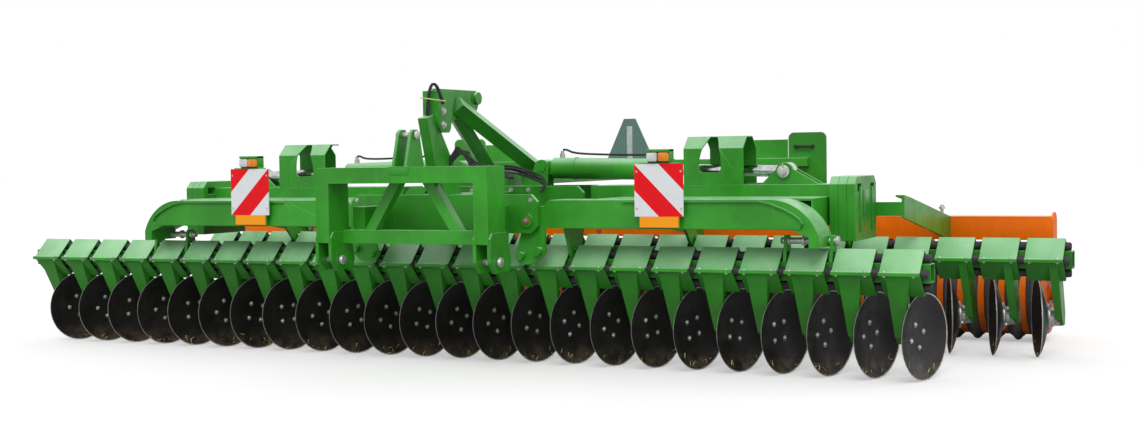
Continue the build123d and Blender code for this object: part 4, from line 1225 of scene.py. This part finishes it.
class HARROW_OT_grass(Operator):
    """Bits of grass and straw caught on the discs"""

    bl_idname = "harrow.grass"
    bl_label = "Grass"

    def execute(self, context):
        chance = random.Random(11)
        for name, side in SIDES:
            shell = bmesh.new()
            for x, y, hand in disc_places(side):
                spot = place_at(x, y, settings().disc_radius) @ disc_turn(hand)
                for number in range(chance.choice((3, 5, 8))):
                    self.blade(shell, spot, chance, hand)
            finished("grass_bits_" + name, "wing_" + name, shell, "grass")
        return {"FINISHED"}

    def blade(self, shell, spot, chance, hand):
        """One thin blade lying on the lower part of a disc's hollow."""
        radius = chance.uniform(0.185, 0.226)
        down = 0 if hand < 0 else 180
        around = radians(down + chance.uniform(-48, 48))
        blade_length = chance.uniform(0.016, 0.045)
        width = chance.uniform(0.0014, 0.0036)
        verts = added(shell, lambda: bmesh.ops.create_cone(shell, cap_ends=True, segments=3, radius1=width,
                                                           radius2=width * 0.2, depth=blade_length))
        lie = turn(90, "X")
        where = place_at(radius * cos(around), radius * sin(around), dish_height(radius) + 0.003)
        bmesh.ops.transform(shell, matrix=spot @ where @ turn(chance.uniform(0, 360), "Z") @ lie, verts=verts)
        sunk = 0.001 - min(vertex.co.z for vertex in verts)
        if sunk > 0:
            bmesh.ops.translate(shell, vec=(0, 0, sunk), verts=verts)


class HARROW_OT_stage(Operator):
    """Floor, light and the camera"""

    bl_idname = "harrow.stage"
    bl_label = "Stage"

    camera_place = (4.5667, -8.782, 1.2088)
    camera_yaw = 0.455
    camera_pitch = 0.0411
    camera_roll = -0.0162
    focal_length = 49.05
    sun_strength = 1.15
    sun_spread = 28
    sun_aim = (-0.30, 0.80, -0.85)
    world_light = 0.88
    floor_glow = 0.40

    def execute(self, context):
        self.floor()
        self.world()
        self.lights()
        self.camera()
        return {"FINISHED"}

    def floor(self):
        """A plain pale floor."""
        half = settings().floor_half
        mesh = bpy.data.meshes.new("studio_floor")
        shell = bmesh.new()
        bmesh.ops.create_grid(shell, x_segments=1, y_segments=1, size=half)
        shell.to_mesh(mesh)
        shell.free()
        material, tree, shader, place = new_material("studio_floor")
        seen = node(tree, "ShaderNodeLightPath").outputs["Is Camera Ray"]
        cloud = between(tree, noise(tree, place, 0.6, 3), 0.3, 0.7)
        pale = mixed(tree, cloud, (0.58, 0.58, 0.58), (0.60, 0.60, 0.60))
        wire(tree, mixed(tree, seen, (0.46, 0.46, 0.46), pale), shader.inputs["Base Color"])
        shader.inputs["Roughness"].default_value = 0.9
        shader.inputs["Specular IOR Level"].default_value = 0.0
        shader.inputs["Emission Color"].default_value = (1, 1, 1, 1)
        wire(tree, reckoned(tree, "MULTIPLY", seen, self.floor_glow), shader.inputs["Emission Strength"])
        mesh.materials.append(material)
        floor = bpy.data.objects.new("studio_floor", mesh)
        bpy.context.scene.collection.objects.link(floor)

    def world(self):
        """A soft white surround that the camera, metal and glass see as white."""
        world = bpy.data.worlds.new("studio")
        world.use_nodes = True
        tree = world.node_tree
        tree.nodes.clear()
        output = node(tree, "ShaderNodeOutputWorld")
        rays = node(tree, "ShaderNodeLightPath")
        seen = reckoned(tree, "MAXIMUM", rays.outputs["Is Camera Ray"], rays.outputs["Is Glossy Ray"])
        seen = reckoned(tree, "MAXIMUM", seen, rays.outputs["Is Transmission Ray"])
        background = node(tree, "ShaderNodeBackground", Color=(1, 1, 1, 1))
        wire(tree, between(tree, seen, 0.0, 1.0, self.world_light, 1.0), background.inputs["Strength"])
        wire(tree, background.outputs["Background"], output.inputs["Surface"])
        bpy.context.scene.world = world

    def lights(self):
        """One wide soft sun from the front right above."""
        data = bpy.data.lights.new("sun", "SUN")
        data.energy = self.sun_strength
        data.angle = radians(self.sun_spread)
        sun = bpy.data.objects.new("sun", data)
        sun.rotation_euler = Vector(self.sun_aim).to_track_quat("-Z", "Y").to_euler()
        bpy.context.scene.collection.objects.link(sun)
        bpy.context.scene.view_settings.view_transform = "Standard"

    def camera(self):
        """The camera where the photograph was taken."""
        data = bpy.data.cameras.new("camera")
        data.lens = self.focal_length
        data.sensor_width = 36
        data.clip_end = 400
        camera = bpy.data.objects.new("camera", data)
        heading = Matrix.Rotation(self.camera_yaw, 4, "Z")
        tilt = Matrix.Rotation(pi / 2 - self.camera_pitch, 4, "X")
        roll = Matrix.Rotation(self.camera_roll, 4, "Z")
        camera.matrix_world = place_at(*self.camera_place) @ heading @ tilt @ roll
        bpy.context.scene.collection.objects.link(camera)
        bpy.context.scene.camera = camera


OPERATORS = (
    HARROW_OT_stage,
    HARROW_OT_discs,
    HARROW_OT_rows,
    HARROW_OT_roller,
    HARROW_OT_wings,
    HARROW_OT_boards,
    HARROW_OT_centre,
    HARROW_OT_cylinders,
    HARROW_OT_grass,
)


class HARROW_PT_panel(Panel):
    """Lists the harrow's sizes, colours and pieces"""

    bl_label = "Harrow"
    bl_idname = "HARROW_PT_panel"
    bl_space_type = "VIEW_3D"
    bl_region_type = "UI"
    bl_category = "Harrow"

    def draw(self, context):
        column = self.layout.column()
        for name in HarrowSettings.__annotations__:
            column.prop(context.scene.harrow, name)
        for operator in OPERATORS:
            column.operator(operator.bl_idname)


def register():
    """Register the settings, the operators and the panel."""
    bpy.utils.register_class(HarrowSettings)
    for operator in OPERATORS:
        bpy.utils.register_class(operator)
    bpy.utils.register_class(HARROW_PT_panel)
    bpy.types.Scene.harrow = PointerProperty(type=HarrowSettings)


def unregister():
    """Undo register, in the opposite order."""
    del bpy.types.Scene.harrow
    bpy.utils.unregister_class(HARROW_PT_panel)
    for operator in reversed(OPERATORS):
        bpy.utils.unregister_class(operator)
    bpy.utils.unregister_class(HarrowSettings)


def main():
    """Make every piece in order."""
    register()
    bpy.ops.harrow.stage()
    bpy.ops.harrow.discs()
    bpy.ops.harrow.rows()
    bpy.ops.harrow.roller()
    bpy.ops.harrow.wings()
    bpy.ops.harrow.boards()
    bpy.ops.harrow.centre()
    bpy.ops.harrow.cylinders()
    bpy.ops.harrow.grass()
    bpy.context.view_layer.update()


if __name__ == "__main__":
    main()
